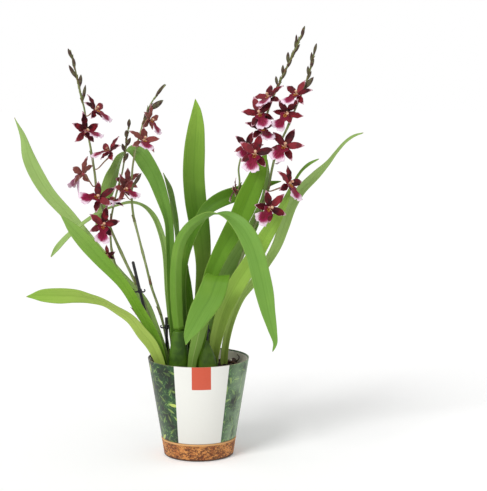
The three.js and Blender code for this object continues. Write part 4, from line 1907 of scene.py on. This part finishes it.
@dataclass
class Stake:
    """A round support stake with a two-armed clip."""

    node: str
    foot: Row
    top: Row
    clip: float
    left: float
    right: float
    radius: float = 1.8
    taper: tuple[Row, ...] = ((0, 1), (0.5, 1), (0.985, 1), (0.994, 0.85), (1, 0.05))
    collar: tuple[Row, ...] = ((-2.6, 0.1), (-2.2, 0.75), (0, 0.85), (2.2, 0.75), (2.6, 0.1))
    arm: tuple[Row, ...] = (
        (0, 0, 0, 0, 1.1), (0.45, 0, -1.2, -0.7, 1), (0.85, 0, -1, -0.5, 0.9),
        (1, 0, -0.8, 1, 0.8), (1, -0.7, -0.6, 2, 0.7), (1, -1.3, -0.5, 1.9, 0.4),
    )

    def build(self) -> Object:
        """Makes the stake.

        Returns:
            The object.
        """
        piece = Piece(self.node, [StakeFinish()])
        foot, top = Vector(self.foot), Vector(self.top)
        rod = [(*foot.lerp(top, share), self.radius * k) for share, k in self.taper]
        piece.tube(rod, 16, 80)
        held = foot.lerp(top, (self.clip - foot.z) / (top.z - foot.z))
        way = (top - foot).normalized()
        collar = [(*(held + way * along), self.radius + k) for along, k in self.collar]
        piece.tube(collar, 16, 12)
        for reach in (self.left, self.right):
            side = copysign(1, reach)
            arm = [
                (held.x + reach * share + side * back, held.y + y, self.clip + z, radius)
                for share, back, y, z, radius in self.arm
            ]
            piece.tube(arm, 10, 18)
        return piece.finish("stake")


@dataclass
class Pot:
    """The tapered pot with its rounded lip and drain holes."""

    node: str = "pot"
    drains: int = 5
    drain_ring: float = 26.0
    drain_radius: float = 3.5
    steps: int = 120
    foot_round: float = 1.2
    lip_round: float = 0.5
    waist: float = 60.0

    def build(self) -> Object:
        """Makes the pot.

        Returns:
            The object.
        """
        piece = Piece(self.node, [PotFinish()])
        lip, foot = POT_HEIGHT, self.foot_round
        under_lip = lip - self.lip_round
        profile = [
            (0, 0), (POT_FOOT - foot, 0), (POT_FOOT - 0.35, 0.35), (pot_radius(foot), foot),
            (pot_radius(self.waist), self.waist), (pot_radius(under_lip), under_lip),
            (pot_radius(lip) - 0.45, lip), (pot_bore(lip) + 0.45, lip),
            (pot_bore(under_lip), under_lip), (pot_bore(self.waist), self.waist),
            (pot_bore(POT_FLOOR + foot), POT_FLOOR + foot), (pot_bore(POT_FLOOR) - 1.0, POT_FLOOR),
            (0, POT_FLOOR),
        ]
        piece.spun(profile, self.steps)
        pot = piece.finish("pot")
        self.drill(pot)
        return pot

    def drill(self, pot: Object) -> None:
        """Cuts the drain holes through the floor.

        Args:
            pot: The pot's object.
        """
        tool = bmesh.new()
        for i in range(self.drains):
            spot = polar(self.drain_ring, tau * i / self.drains, 1)
            bmesh.ops.create_cone(
                tool, cap_ends=True, segments=28, radius1=self.drain_radius,
                radius2=self.drain_radius, depth=8, matrix=Matrix.Translation(spot),
            )
        bmesh.ops.scale(tool, vec=(MM, MM, MM), verts=tool.verts)
        drill = mesh_object("drill", tool)
        cut = pot.modifiers.new("drains", "BOOLEAN")
        cut.operation = "DIFFERENCE"
        cut.object = drill
        ready = pot.evaluated_get(bpy.context.evaluated_depsgraph_get())
        cut_mesh = bpy.data.meshes.new_from_object(ready)
        pot.modifiers.clear()
        pot.data = cut_mesh
        bpy.data.objects.remove(drill)


@dataclass
class Sleeve:
    """The printed paper round the pot, glued in an overlap at the back."""

    node: str = "printed_sleeve"
    low: float = 22.2
    high: float = 117.6
    wall: float = 0.8
    steps: int = 144
    edge: float = 0.2
    waist: float = 70.0
    seam_margin: float = 0.1
    seam_gap: float = 0.12
    seam_step: float = 0.1
    seam_half: float = 0.09
    seam_thick: float = 0.3

    def inner(self, z: float) -> float:
        """Inner radius at a height."""
        return pot_radius(z) + GAP

    def outer(self, z: float) -> float:
        """Outer radius at a height."""
        return self.inner(z) + self.wall

    def seam(self, across: float, along: float) -> Vector:
        """Point on the strip where the paper overlaps.

        Args:
            across: Share across, -1 to 1.
            along: Share along.

        Returns:
            The point.
        """
        z = mix(self.low + self.seam_margin, self.high - self.seam_margin, along)
        out = self.outer(z) + self.seam_gap + self.seam_step * (across > 0)
        return polar(out, pi / 2 + across * self.seam_half, z)

    def build(self) -> Object:
        """Makes the sleeve.

        Returns:
            The object.
        """
        piece = Piece(self.node, [PrintFinish()])
        low, high, edge = self.low, self.high, self.edge
        profile = [
            (self.inner(low), low), (self.outer(low) - edge, low),
            (self.outer(low + edge), low + edge), (self.outer(self.waist), self.waist),
            (self.outer(high - edge), high - edge), (self.outer(high) - edge, high),
            (self.inner(high), high),
        ]
        piece.spun(profile, self.steps)
        piece.sheet(self.seam, 8, 20, self.seam_thick)
        return piece.finish("sleeve")


@dataclass
class CorkBand:
    """The cork-look band round the pot's foot."""

    node: str = "cork_band"
    low: float = 0.8
    high: float = 21.7
    foot: float = 41.5
    top: float = 44.8
    steps: int = 144
    waist: float = 10.0
    edge: float = 0.4
    lip: float = 2.4

    def outer(self, z: float) -> float:
        """Outer radius at a height, without the lip."""
        return mix(self.foot, self.top, (z - self.low) / (self.high - self.low))

    def build(self) -> Object:
        """Makes the band.

        Returns:
            The object.
        """
        piece = Piece(self.node, [CorkFinish()])
        low, high, edge = self.low, self.high, self.edge
        lip = high - self.lip
        swell = lip + 0.3
        profile = [
            (pot_radius(low) + GAP, low), (self.outer(low) - edge, low),
            (self.outer(low + edge), low + edge), (self.outer(self.waist), self.waist),
            (self.outer(lip), lip), (self.outer(swell) + 0.25, swell),
            (self.outer(high - edge) + 0.15, high - edge), (self.outer(high) - 0.3, high),
            (pot_radius(high) + GAP, high),
        ]
        piece.spun(profile, self.steps)
        return piece.finish("cork")


class Litter(IntEnum):
    """The bark's finishes by number."""

    BARK = 0
    PALE = 1
    ROOT = 2


@dataclass
class BarkFill:
    """The bark in the pot: a lumpy bed under loose chips, with a pale chip and an old root."""

    node: str = "bark"
    finishes: tuple[Finish, ...] = (
        BarkFinish(),
        SpeckledFinish("pale_chip", "#e9e4d8", "#b9ab93", scale=260.0, rough=0.6),
        SpeckledFinish("old_root", "#3a2a20", "#1d1510", scale=320.0, rough=0.6),
    )
    chips: int = 330
    seed: int = 4
    edge: float = 54.5
    chip_reach: float = 5.5
    bed_top: float = BARK_TOP - 1.5
    lump: float = 1.6
    lump_pace: float = 0.16
    golden_turn: float = 2.39996
    turn_jitter: float = 0.3
    scales: Pair = (0.55, 1.05)
    heights: Pair = (-1.6, 1.4)
    chip_sizes: tuple[Pair, ...] = ((4.5, 8.5), (2.6, 4.6), (1.2, 2.4))
    chip_tips: Pair = (0.4, 0.35)
    chip_square: float = 0.55
    chip_rough: float = 0.28
    supports: tuple[Row, ...] = ((36, 19, 106.6), (41, 22, 106.8), (40, 30, 107))
    pale_spot: Row = (38, 18, 110.2)
    pale_scale: float = 0.7
    old_root: tuple[Row, ...] = (
        (46, 28, 115, 0.4), (48.3, 26, 112, 0.75), (46.8, 23, 108.8, 0.9),
        (42.5, 21, 107.3, 0.95), (37, 22, 107.4, 0.8), (31, 26, 106.2, 0.5),
    )
    scraps: tuple[tuple[Row, ...], ...] = (
        (
            (-49, -12, 104.5, 2.2), (-50.5, -12, 111, 3.2), (-51.5, -11.5, 117, 3),
            (-52, -11, 123.5, 0.5),
        ),
        ((-50.5, -12, 115.5, 2), (-54.5, -12, 119.6, 1.5), (-58.5, -12, 121.4, 0.4)),
    )
    scrap_stations: tuple[int, int] = (16, 10)

    def bed(self, piece: Piece) -> None:
        """Makes the bed that the chips lie on.

        Args:
            piece: The bark's piece.
        """
        low, top = POT_FLOOR + GAP, self.bed_top

        def place(turn: float, along: float) -> Vector:
            """Point on the bed.

            Args:
                turn: Share round.
                along: Share along.

            Returns:
                The point.
            """
            angle = tau * turn
            if along < 0.5:
                z = mix(low, top, along * 2)
                return polar(pot_bore(z) - GAP, angle, z)
            share = 2 * (1 - along)
            flat = polar((pot_bore(top) - GAP) * share, angle, 0)
            bump = noise.noise(flat * self.lump_pace) * self.lump * (1 - share ** 6)
            return flat + Vector((0, 0, top + bump))

        piece.wrap(place, 64, 40, Litter.BARK, 0.2)

    def chip(
        self,
        piece: Piece,
        draw: random.Random,
        spot: Vector,
        scale: float = 1.0,
        finish: int = Litter.BARK,
    ) -> None:
        """Lays one split, worn chip.

        Args:
            piece: The bark's piece.
            draw: Source of chance.
            spot: Its middle.
            scale: Its size beside a common chip.
            finish: Number of its material.
        """
        size = Vector([draw.uniform(*span) for span in self.chip_sizes]) * scale
        matrix = Matrix.Translation(spot) @ Matrix.Rotation(draw.uniform(0, tau), 4, "Z")
        for axis, tip in zip("XY", self.chip_tips):
            matrix @= Matrix.Rotation(draw.uniform(-tip, tip), 4, axis)
        verts = bmesh.ops.create_icosphere(piece.mesh, subdivisions=2, radius=1)["verts"]
        jolt = Vector((draw.uniform(0, 90), draw.uniform(0, 90), 0))
        for vert in verts:
            square = Vector([copysign(abs(c) ** self.chip_square, c) for c in vert.co])
            square *= 1 + self.chip_rough * noise.noise(vert.co * 1.6 + jolt)
            vert.co = square * size
        bmesh.ops.transform(piece.mesh, matrix=matrix, verts=verts)
        piece.dress(verts, finish, draw.random())
        for face in {face for vert in verts for face in vert.link_faces}:
            face.smooth = False

    def build(self) -> Object:
        """Makes the bark.

        Returns:
            The object.
        """
        piece = Piece(self.node, self.finishes)
        self.bed(piece)
        draw = random.Random(self.seed)
        for i in range(self.chips):
            reach = self.edge * sqrt((i + 0.5) / self.chips)
            angle = self.golden_turn * i + draw.uniform(-self.turn_jitter, self.turn_jitter)
            scale = draw.uniform(*self.scales)
            reach = min(reach, self.edge - self.chip_reach * scale)
            spot = polar(reach, angle, BARK_TOP + draw.uniform(*self.heights))
            self.chip(piece, draw, spot, scale)
        for spot in self.supports:
            self.chip(piece, draw, Vector(spot))
        self.chip(piece, draw, Vector(self.pale_spot), self.pale_scale, Litter.PALE)
        piece.tube(self.old_root, 8, 24, Litter.ROOT)
        for rows, stations in zip(self.scraps, self.scrap_stations):
            piece.tube(rows, 8, stations, Litter.ROOT)
        return piece.finish("bark")


@dataclass
class Studio:
    """Pale floor, soft light and the camera at the photograph's viewing angle."""

    floor_size: float = 9.0
    lens: float = 112.6
    sensor: float = 36.0
    pitch: float = 7.54
    stand: Row = (0.0537, -1.8, 0.49)
    fill: float = 0.6
    backdrop: float = 1.0
    key_power: float = 1.7
    key_spread: float = 24.0
    key_from: Row = (-0.45, -0.65, 0.75)

    def floor(self) -> None:
        """Lays the floor."""
        mesh = bmesh.new()
        bmesh.ops.create_grid(mesh, x_segments=4, y_segments=4, size=self.floor_size)
        floor = mesh_object("floor", mesh)
        floor.data.materials.append(FloorFinish().material())
        floor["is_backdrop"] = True

    def light(self) -> None:
        """Hangs the soft key light, in front to the left and above."""
        lamp = bpy.data.lights.new("key", "SUN")
        lamp.angle = radians(self.key_spread)
        lamp.energy = self.key_power
        held = place_object("key", lamp)
        held.rotation_euler = (-Vector(self.key_from)).to_track_quat("-Z", "Y").to_euler()

    def surroundings(self) -> None:
        """Makes the even light from all round, in front of a white backdrop."""
        world = bpy.data.worlds.new("studio")
        world.use_nodes = True
        tree = world.node_tree
        sky = tree.nodes["Background"]
        seen = tree.nodes.new("ShaderNodeLightPath")
        level = tree.nodes.new("ShaderNodeMapRange")
        level.inputs["To Min"].default_value = self.fill
        level.inputs["To Max"].default_value = self.backdrop
        tree.links.new(seen.outputs["Is Camera Ray"], level.inputs["Value"])
        tree.links.new(level.outputs[0], sky.inputs["Strength"])
        sky.inputs["Color"].default_value = (1, 1, 1, 1)
        bpy.context.scene.world = world

    def camera(self) -> None:
        """Stands the camera up."""
        data = bpy.data.cameras.new("camera")
        data.lens = self.lens
        data.sensor_width = self.sensor
        camera = place_object("camera", data)
        camera.location = self.stand
        camera.rotation_euler = (radians(90 - self.pitch), 0, 0)
        bpy.context.scene.camera = camera

    def build(self) -> None:
        """Sets up the studio."""
        self.floor()
        self.camera()
        self.light()
        self.surroundings()
        bpy.context.scene.view_settings.view_transform = "Standard"
        log.info("studio ready")


# Rows of x, y, z, width and any roll, from the foot to the tip.
LEAVES = {
    "far_left": [
        [-34, 7, 88, 9], [-38, 7.5, 106, 10], [-45, 10, 129, 11], [-53, 14.5, 151, 11],
        [-66, 22, 181, 12, 15], [-94, 27, 212, 13, 20], [-126, 34, 247, 15, 20],
        [-153.5, 39, 280, 15, 15], [-180.5, 43, 309, 16], [-194.8, 46, 331, 17.5],
        [-204.3, 48, 352, 16, 10], [-210.8, 49, 378, 11, 45], [-221.5, 50, 400, 1.6, 60],
    ],
    "left": [
        [-40, -6, 88, 10], [-42, -7, 108, 11], [-48, -9.5, 134, 12], [-57, -12, 156, 12],
        [-71, -15, 181, 12, 5], [-87, -17, 208, 13, 5], [-113, -20, 238, 17],
        [-130, -22, 258, 18.5], [-145, -24, 275, 13], [-159, -25, 291, 1.6],
    ],
    "low_left": [
        [-42, -14, 88, 10], [-44, -15, 110, 11], [-54, -17, 135, 14], [-65, -20, 150, 14],
        [-78, -25, 168, 12, 15], [-94, -30, 180.5, 12, 35], [-109, -35, 190.3, 13, 40],
        [-125, -40, 195.8, 14, 30], [-141, -45, 199, 16, 5], [-160, -50, 200, 18],
        [-179, -54, 201, 14], [-196, -57, 200, 1.6],
    ],
    "arching": [
        [-24, 9, 88, 9], [-25, 9, 110, 10], [-28.5, 10, 149, 11], [-32, 11, 197, 11],
        [-34.4, 12, 245, 11, -25], [-36, 14, 279, 11.5, -30], [-44, 16, 310, 15.5, -10],
        [-51, 17, 330, 18], [-62, 19, 349, 20, -5], [-71, 22, 360, 20, -30],
        [-82, 27, 363, 17, -75], [-92, 31, 355, 16, -110], [-99, 34, 341, 16, -130],
        [-105, 37, 327, 17, -155], [-110, 39, 312, 17, -160], [-118, 41, 292, 14, -170],
        [-125, 42, 264, 1.6, -180],
    ],
    "thin_arch": [
        [-28, 18, 88, 8], [-28, 18, 108, 8], [-32, 18, 147, 8], [-36.5, 18, 196, 8.2],
        [-39.5, 19, 240, 7.6, -5], [-45.5, 20, 266, 7, -15], [-54.5, 23, 285, 7, -45],
        [-66, 24, 296, 7, -65], [-80, 24, 300, 7.4, -75], [-98, 24, 296, 8.4, -80],
        [-116, 24, 289, 9, -75], [-132, 24, 279, 9, -65], [-148, 21, 267, 8.5, -60],
        [-160, 18, 256, 8, -40], [-170, 16, 245, 6, -10], [-176, 14, 236, 1.6],
    ],
    "back_thin": [
        [-18, 24, 88, 8], [-18, 24, 108, 8.5], [-19, 26, 158, 8.5], [-22.5, 30, 212, 8, -30],
        [-26.2, 34, 254, 9, -55], [-29.6, 38, 284, 9, -50], [-35.4, 42, 314, 8, -45],
        [-43, 45, 334, 1.6, -60],
    ],
    "upright": [
        [0, 34, 88, 10], [0, 34, 107, 11], [0, 35, 144, 13.5], [3, 36, 187, 16], [5, 37, 223, 17.5],
        [3.5, 38, 250, 21.5], [0, 39, 276, 25], [-4, 40, 303, 26], [-6, 41, 332, 26],
        [-5, 42, 362, 25], [-3, 43, 390, 19.5], [-2.5, 44, 409, 11], [-4, 45, 423, 1.6],
    ],
    "inner_arch": [
        [-14, 3, 88, 9], [-14, 3, 108, 9.5], [-17, 3, 149, 11], [-19, 5, 185, 10.5, 20],
        [-17, 10, 226, 11.5, 35], [-10, 12, 254, 13, 35], [0, 14, 277, 13.5, 30],
        [12, 18, 294, 16, 20], [28, 22, 304.5, 18.5, 10], [46, 26, 311, 17.5], [66, 30, 317, 13],
        [84, 33, 322, 7], [99, 34, 325, 1.6],
    ],
    "short": [
        [-9, 16, 88, 9], [-9, 16, 108, 9.5], [-9.5, 17, 147, 11], [-11, 18, 180, 10],
        [-13, 19, 204, 8], [-13.5, 20, 226, 1.6],
    ],
    "front_arch": [
        [-23, -14, 153, 12], [-25, -14, 177, 13.5], [-26, -15, 207, 14], [-25, -16, 234, 13],
        [-20, -18, 258, 13, -5], [-11, -20, 273, 13, -15], [3, -24, 285, 13.5, -40],
        [18, -28, 292, 14, -70], [34, -34, 291, 16.5, -115], [49, -40, 281, 19, -155],
        [61, -46, 264, 22, -175], [68, -50, 246, 22, -180], [73, -54, 226, 22, -180],
        [78, -58, 204, 21, -180], [82, -62, 184, 16.5, -180], [87, -66, 163, 10.5, -180],
        [90, -69, 148, 5, -180], [87, -71, 138, 1.6, -180],
    ],
    "broad_right": [
        [1, -8, 88, 10], [1, -8, 111, 11], [3, -8, 146, 14], [8, -7, 184, 16.5], [15, -6, 216, 17],
        [25, -5, 240, 19], [38, -4, 264, 22.5], [50, -2, 287, 24.5], [59, 0, 308, 26],
        [68, 2, 329, 22], [75, 5, 348, 14], [81, 7, 362, 1.6],
    ],
    "narrow_right": [
        [9, 2, 88, 8], [9, 2, 111, 9.5], [13, 8, 156, 13], [20, 13, 188, 16.5], [34, 16, 221, 19],
        [50, 17, 247, 18, 10], [64, 18, 269, 15, 35], [74, 19, 291, 14, 55], [81, 20, 313, 13, 65],
        [84, 20, 333, 11, 70], [82, 19, 352, 1.6, 70],
    ],
    "young": [
        [17, -2, 88, 9], [17, -2, 109, 11], [22, -3, 145, 15.5], [32, -3, 178, 19],
        [47, -3, 208, 21], [63, -3, 233, 20], [78, -3, 260, 17.5], [91, -2, 281, 14, 5],
        [102, 3, 301, 9, 25], [111, 8, 320, 5.5, 45], [121, 10, 337.5, 4, 55],
        [131, 11, 347, 4.6, 50], [143, 12, 353.5, 1.6, 40],
    ],
    "far_right": [
        [28, 13, 88, 8], [30, 14, 108, 8.5], [33, 15, 135, 8.5], [41, 17, 164, 8.5],
        [51, 19, 186, 8.5], [64, 22, 202, 9, 15], [81, 26, 226, 10, 10], [94, 29, 249, 12],
        [102, 32, 271, 13.5], [111, 35, 295, 13], [122, 38, 313, 12], [141, 42, 332, 10.5],
        [156, 45, 347, 5.8], [166, 46, 360, 4], [176, 48, 371, 3.6], [186, 50, 378, 3],
        [198, 51, 382, 1.6],
    ],
    "front_droop": [
        [-7, -25, 88, 9, -90], [-7, -26, 114, 10, -90], [-2, -26, 137, 14, -90],
        [4, -25, 161, 15.5, -90], [12, -24, 187, 16.5, -90], [20, -24, 208, 20, -90],
        [25, -29, 220, 26, -90], [22, -37, 215, 30, -90], [15, -44, 197, 32, -90],
        [5, -49, 181, 28, -90], [-4, -53, 165, 20, -90], [-10, -55, 154, 11, -90],
        [-13, -56, 143, 1.6, -90],
    ],
}

# Greens of the foot, the middle and the tip. Some are painted light and shade: the upright leaf's
# dark middle is a painted shadow of the leaves in front, and the light greens of leaves that stand
# in shade, such as the upright leaf's foot, the narrow right leaf and the far right leaf's foot,
# are painted light.
GREENS = {
    "far_left": (Green.LIGHT, Green.PALE, Green.PALE),
    "left": (Green.MID, Green.VIVID, Green.LIGHT),
    "low_left": (Green.LIME, Green.LIME, Green.BRIGHT),
    "arching": (Green.DARK, Green.FRESH, Green.LIGHT),
    "thin_arch": (Green.LIGHT, Green.PALE, Green.PALE),
    "back_thin": (Green.MID, Green.FRESH, Green.OLIVE),
    "upright": (Green.LIME, Green.DARK, Green.BRIGHT),
    "inner_arch": (Green.DEEP, Green.DARK, Green.MID),
    "short": (Green.MID, Green.MID, Green.MID),
    "front_arch": (Green.MID, Green.FRESH, Green.FRESH),
    "broad_right": (Green.MID, Green.MID, Green.VIVID),
    "narrow_right": (Green.LIGHT, Green.LIGHT, Green.PALE),
    "young": (Green.LIME, Green.BRIGHT, Green.FRESH),
    "far_right": (Green.LIME, Green.PALE, Green.PALE),
    "front_droop": (Green.MID, Green.MID, Green.FRESH),
}
BACK_SHARES = {"front_arch": 0.1}
LEAF_CHANGES = {
    "front_arch": {"folded": -1.0},
    "front_droop": {"folded": -0.4, "roll_axis": (1, 0, 0)},
    "young": {"slot": "young_leaf"},
}

# Rows of x, y, z and radius, from the foot up.
SPIKES = {
    "left": [
        [-46, 4.3, 86, 1.9], [-47.5, 3.8, 108, 1.9], [-52, 3.6, 131, 1.9], [-58.5, 3, 164, 1.8],
        [-68, 1.5, 192, 1.8], [-88, -1, 237, 1.7], [-105, -2, 277, 1.6], [-118, -2, 314, 1.5],
        [-121, -2, 338, 1.4], [-125, -2, 365, 1.3], [-129, -2, 388, 1.2], [-132, -2, 412, 1.1],
        [-136, -3, 429, 1], [-142, -5, 460, 0.9], [-147, -6, 481, 0.8],
    ],
    "middle": [
        [-34, 24, 86, 1.7], [-35, 23, 108, 1.7], [-40, 20, 140, 1.6], [-47, 14, 172, 1.6],
        [-56, 8, 201, 1.5], [-62, 5, 227, 1.5], [-70, 1, 261, 1.4], [-77, 0, 294, 1.4],
        [-77, 1, 341, 1.2], [-73, 3, 364, 1.1], [-67, 4, 386, 1], [-61, 4, 405, 1],
        [-52, 3, 423, 0.9], [-37, 0, 441, 0.8],
    ],
    "short": [
        [-44, 19, 88, 1.6], [-46, 18, 109, 1.6], [-63, 16, 147, 1.5], [-85, 14, 188, 1.4],
        [-97, 12, 221, 1.3], [-103, 10, 245, 1.3], [-104, 9, 275, 1.2], [-100, 9, 299, 1.2],
        [-95, 9, 319, 1.1], [-89, 9, 340, 1], [-83, 7, 382, 0.9], [-80, 6, 397, 0.8],
    ],
    "right": [
        [11, 18, 86, 1.9], [11, 18, 108, 1.9], [12, 20, 134, 1.9], [18, 24, 183, 1.8],
        [30, 26, 226, 1.8], [42, 20, 262, 1.7], [53, 14, 298, 1.6], [61, 12, 330, 1.5],
        [68, 12, 358, 1.4], [76, 12, 387, 1.4], [83, 12, 411, 1.3], [93, 9, 437, 1.1],
        [108, 3, 469, 1], [116, 0, 487, 0.9], [124, -3, 506, 0.8],
    ],
    "far_right": [
        [22, 12, 86, 1.9], [22, 12, 109, 1.9], [22, 11, 136, 1.9], [29, 7, 172, 1.8],
        [43, 6, 213, 1.8], [57, 6, 250, 1.7], [71, 7, 286, 1.6], [82, 7, 316, 1.5],
        [88, 6, 345, 1.5], [93, 4, 364, 1.4], [106, 0, 393, 1.3], [120, -2, 427, 1.1],
        [126, -3, 441, 1], [137, -5, 484, 0.8],
    ],
    "back": [
        [-4, 23, 86, 1.7], [-4, 22, 108, 1.7], [1, 23, 140, 1.6], [11, 26, 182, 1.6],
        [23, 24, 228, 1.5], [36, 19, 270, 1.4], [46, 16, 303, 1.3], [49, 16, 325, 1.2],
        [48, 17, 342, 1.1], [53, 20, 361, 1], [64, 20, 383, 0.8],
    ],
}

# Rows of x and z of the foot, x and z of the tip, and radius.
BUDS = {
    "left": [
        [-146, 469, -149.5, 483, 2], [-142, 458, -144, 473, 2.1], [-140, 446, -149, 464, 2.3],
        [-136, 436, -135, 453, 2.3], [-134, 420, -130, 441, 2],
    ],
    "middle": [
        [-51, 424, -38, 442, 2], [-57, 410, -40, 423, 3.4], [-62, 395, -53, 414, 3.6],
        [-76, 320, -66, 338, 2.2],
    ],
    "short": [
        [-81, 389, -80, 401, 2.2], [-83, 376, -84, 388, 2.4], [-84, 367, -79, 379, 2.3],
        [-86, 360, -89, 372, 2.2], [-87, 349, -82, 361, 2.2],
    ],
    "right": [
        [121, 495, 124.8, 509, 1.8], [120, 490, 124.6, 503, 1.4], [116, 485, 115, 499, 1.5],
        [115, 480, 114, 493, 1.3], [112, 474, 119.4, 488, 1.7], [109, 469, 115.6, 483, 1.5],
        [105, 464, 105.6, 479, 2.1], [103, 457, 110.4, 471, 1.9], [100, 450, 99.8, 464, 1.9],
        [98, 444, 104.4, 458, 1.8], [92, 438, 91.6, 451, 1.8], [94, 434, 98.6, 448, 1.5],
    ],
    "far_right": [
        [135, 473, 138.4, 489, 1.8], [132, 464, 132.8, 479, 1.6], [131, 457, 135.6, 471, 1.8],
        [129, 449, 128.6, 463, 1.7], [128, 444, 132.6, 457, 1.6], [124, 434, 135.2, 450, 2.9],
    ],
}

# Middle, turn, tilt, roll, size, spike, height of the stalk's foot, swing of the lip.
BLOOMS = {
    "left": [
        [[-119, -10, 411], 62, 32, 5, 0.9, "left", 404],
        [[-131, -15, 386.5], 47, 10, 3, 1, "left", 380, 42],
        [[-102, -10, 363], -52, 36, 0, 0.9, "left", 342, 15],
        [[-134, -8, 337], -125, 20, 0, 0.92, "left", 322],
        [[-115, -16, 309], -20, 32, 52, 0.98, "left", 303, 20],
        [[-111, -17, 278], 20, 10, 15, 0.94, "left", 272],
        [[-106, -4, 241.5], -20, -20, 0, 0.55, "short", 236],
    ],
    "middle": [
        [[-56.5, -5, 399.5], 62, 0, 10, 0.82, "middle", 380, 16],
        [[-62, -21, 375.5], 33, 45, 22, 0.95, "middle", 368],
        [[-83, 16, 325], -150, 20, 10, 0.8, "middle", 314],
        [[-86, -15.5, 319], 50, 10, -10, 0.82, "middle", 306, 30],
        [[-98.5, -8, 303.5], 12, 72, 0, 0.72, "short", 297],
    ],
    "right": [
        [[84, -3, 425], -45, 45, -30, 1, "right", 412],
        [[72.5, -5, 406.5], -5, 25, -20, 0.96, "right", 397],
        [[74, 0, 388], 25, 40, 0, 0.95, "right", 372],
        [[58, 4, 367.5], 5, 30, 20, 0.88, "back", 360],
        [[67.5, -21, 361], -5, 20, 12, 1.05, "right", 346],
        [[45, 5.5, 317], -100, 0, 0, 0.6, "back", 308],
    ],
    "far_right": [
        [[116, -14, 429], -30, 40, 8, 0.91, "far_right", 418],
        [[104, -15, 410], -5, -25, 38, 0.9, "far_right", 402],
        [[102, -12.5, 369], -5, 28, 25, 1.04, "far_right", 360],
        [[106, -13, 325], 50, 23, 22, 1.02, "far_right", 316],
        [[83.5, -22, 299], 20, 0, 50, 1, "far_right", 306],
    ],
}
FADED = {"left_4": 0.5, "middle_1": 0.8, "middle_2": 0.6, "middle_3": 0.3, "middle_4": 0.45}

# Rows of x, y, z, half the width and half the depth.
BULBS = {
    "left": [
        [-22.5, -14, 86, 11.6, 8.5], [-22.5, -14, 106, 12.4, 8.9], [-22.7, -14, 128, 11, 7.8],
        [-23, -14, 145, 8, 5.4], [-23, -14, 152.6, 6.8, 4.2],
    ],
    "right": [
        [11.5, -23, 84, 8.2, 7], [11.5, -23, 96, 10.6, 8.6], [11.5, -23, 110, 11.2, 8.8],
        [11.3, -23, 122, 9, 6.8], [11, -23, 134, 4.6, 3.6], [10.6, -22.5, 143, 1.2, 1],
    ],
}
BULB_GREENS = {
    "left": ("#4a6f16", "#30500f"), "right": ("#4f7019", "#36520f")
}

# Foot, top, height of the clip, and how far its arms reach to the left and right.
STAKES = {
    "left": [[-44, -1.5, 88], [-77, -6, 234], 198, -8, 6],
    "short": [[-38.5, 15.5, 88], [-38.5, 9.5, 164], 152, -7, 4],
    "middle": [[-4, 41, 88], [-1.5, 46, 226], 150, -3, 3],
    "front": [[8.2, -6, 88], [11, -4.8, 158], 150, -3, 3],
}


def assemblies() -> Iterator[Assembly]:
    """Gives every sub-assembly in the order in which it is made.

    Returns:
        The assemblies, one by one.
    """
    yield Pot()
    yield Sleeve()
    yield CorkBand()
    yield BarkFill()
    for name, rows in BULBS.items():
        yield Pseudobulb("pseudobulb_" + name, rows, *BULB_GREENS[name])
    for name, rows in LEAVES.items():
        back_share = BACK_SHARES.get(name, LeafFinish.back_share)
        finish = LeafFinish(f"leaf_{name}_skin", *GREENS[name], back_share)
        yield Leaf("leaf_" + name, rows, finish, **LEAF_CHANGES.get(name, {}))
    for name, rows in SPIKES.items():
        yield Spike("spike_" + name, rows, BUDS.get(name, []))
    for name, spec in STAKES.items():
        yield Stake("stake_" + name, *spec)
    for group, specs in BLOOMS.items():
        for number, (middle, turn, tilt, roll, size, bearer, foot, *swing) in enumerate(specs, 1):
            name = f"{group}_{number}"
            rows = SPIKES[bearer]
            bloom = Bloom("bloom_" + name, middle, turn, tilt, roll, size, rows, foot, *swing)
            bloom.tone = FADED.get(name, Bloom.tone)
            yield bloom


def main() -> None:
    """Builds the studio and every piece."""
    logging.basicConfig(level=logging.INFO, format="%(message)s")
    Studio().build()
    for assembly in assemblies():
        assembly.build()
    boxes = {"cad": cad_box, "visual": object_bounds()}
    {name: [list(corner) for corner in box] for name, box in boxes.items()}


if __name__ == "__main__":
    main()
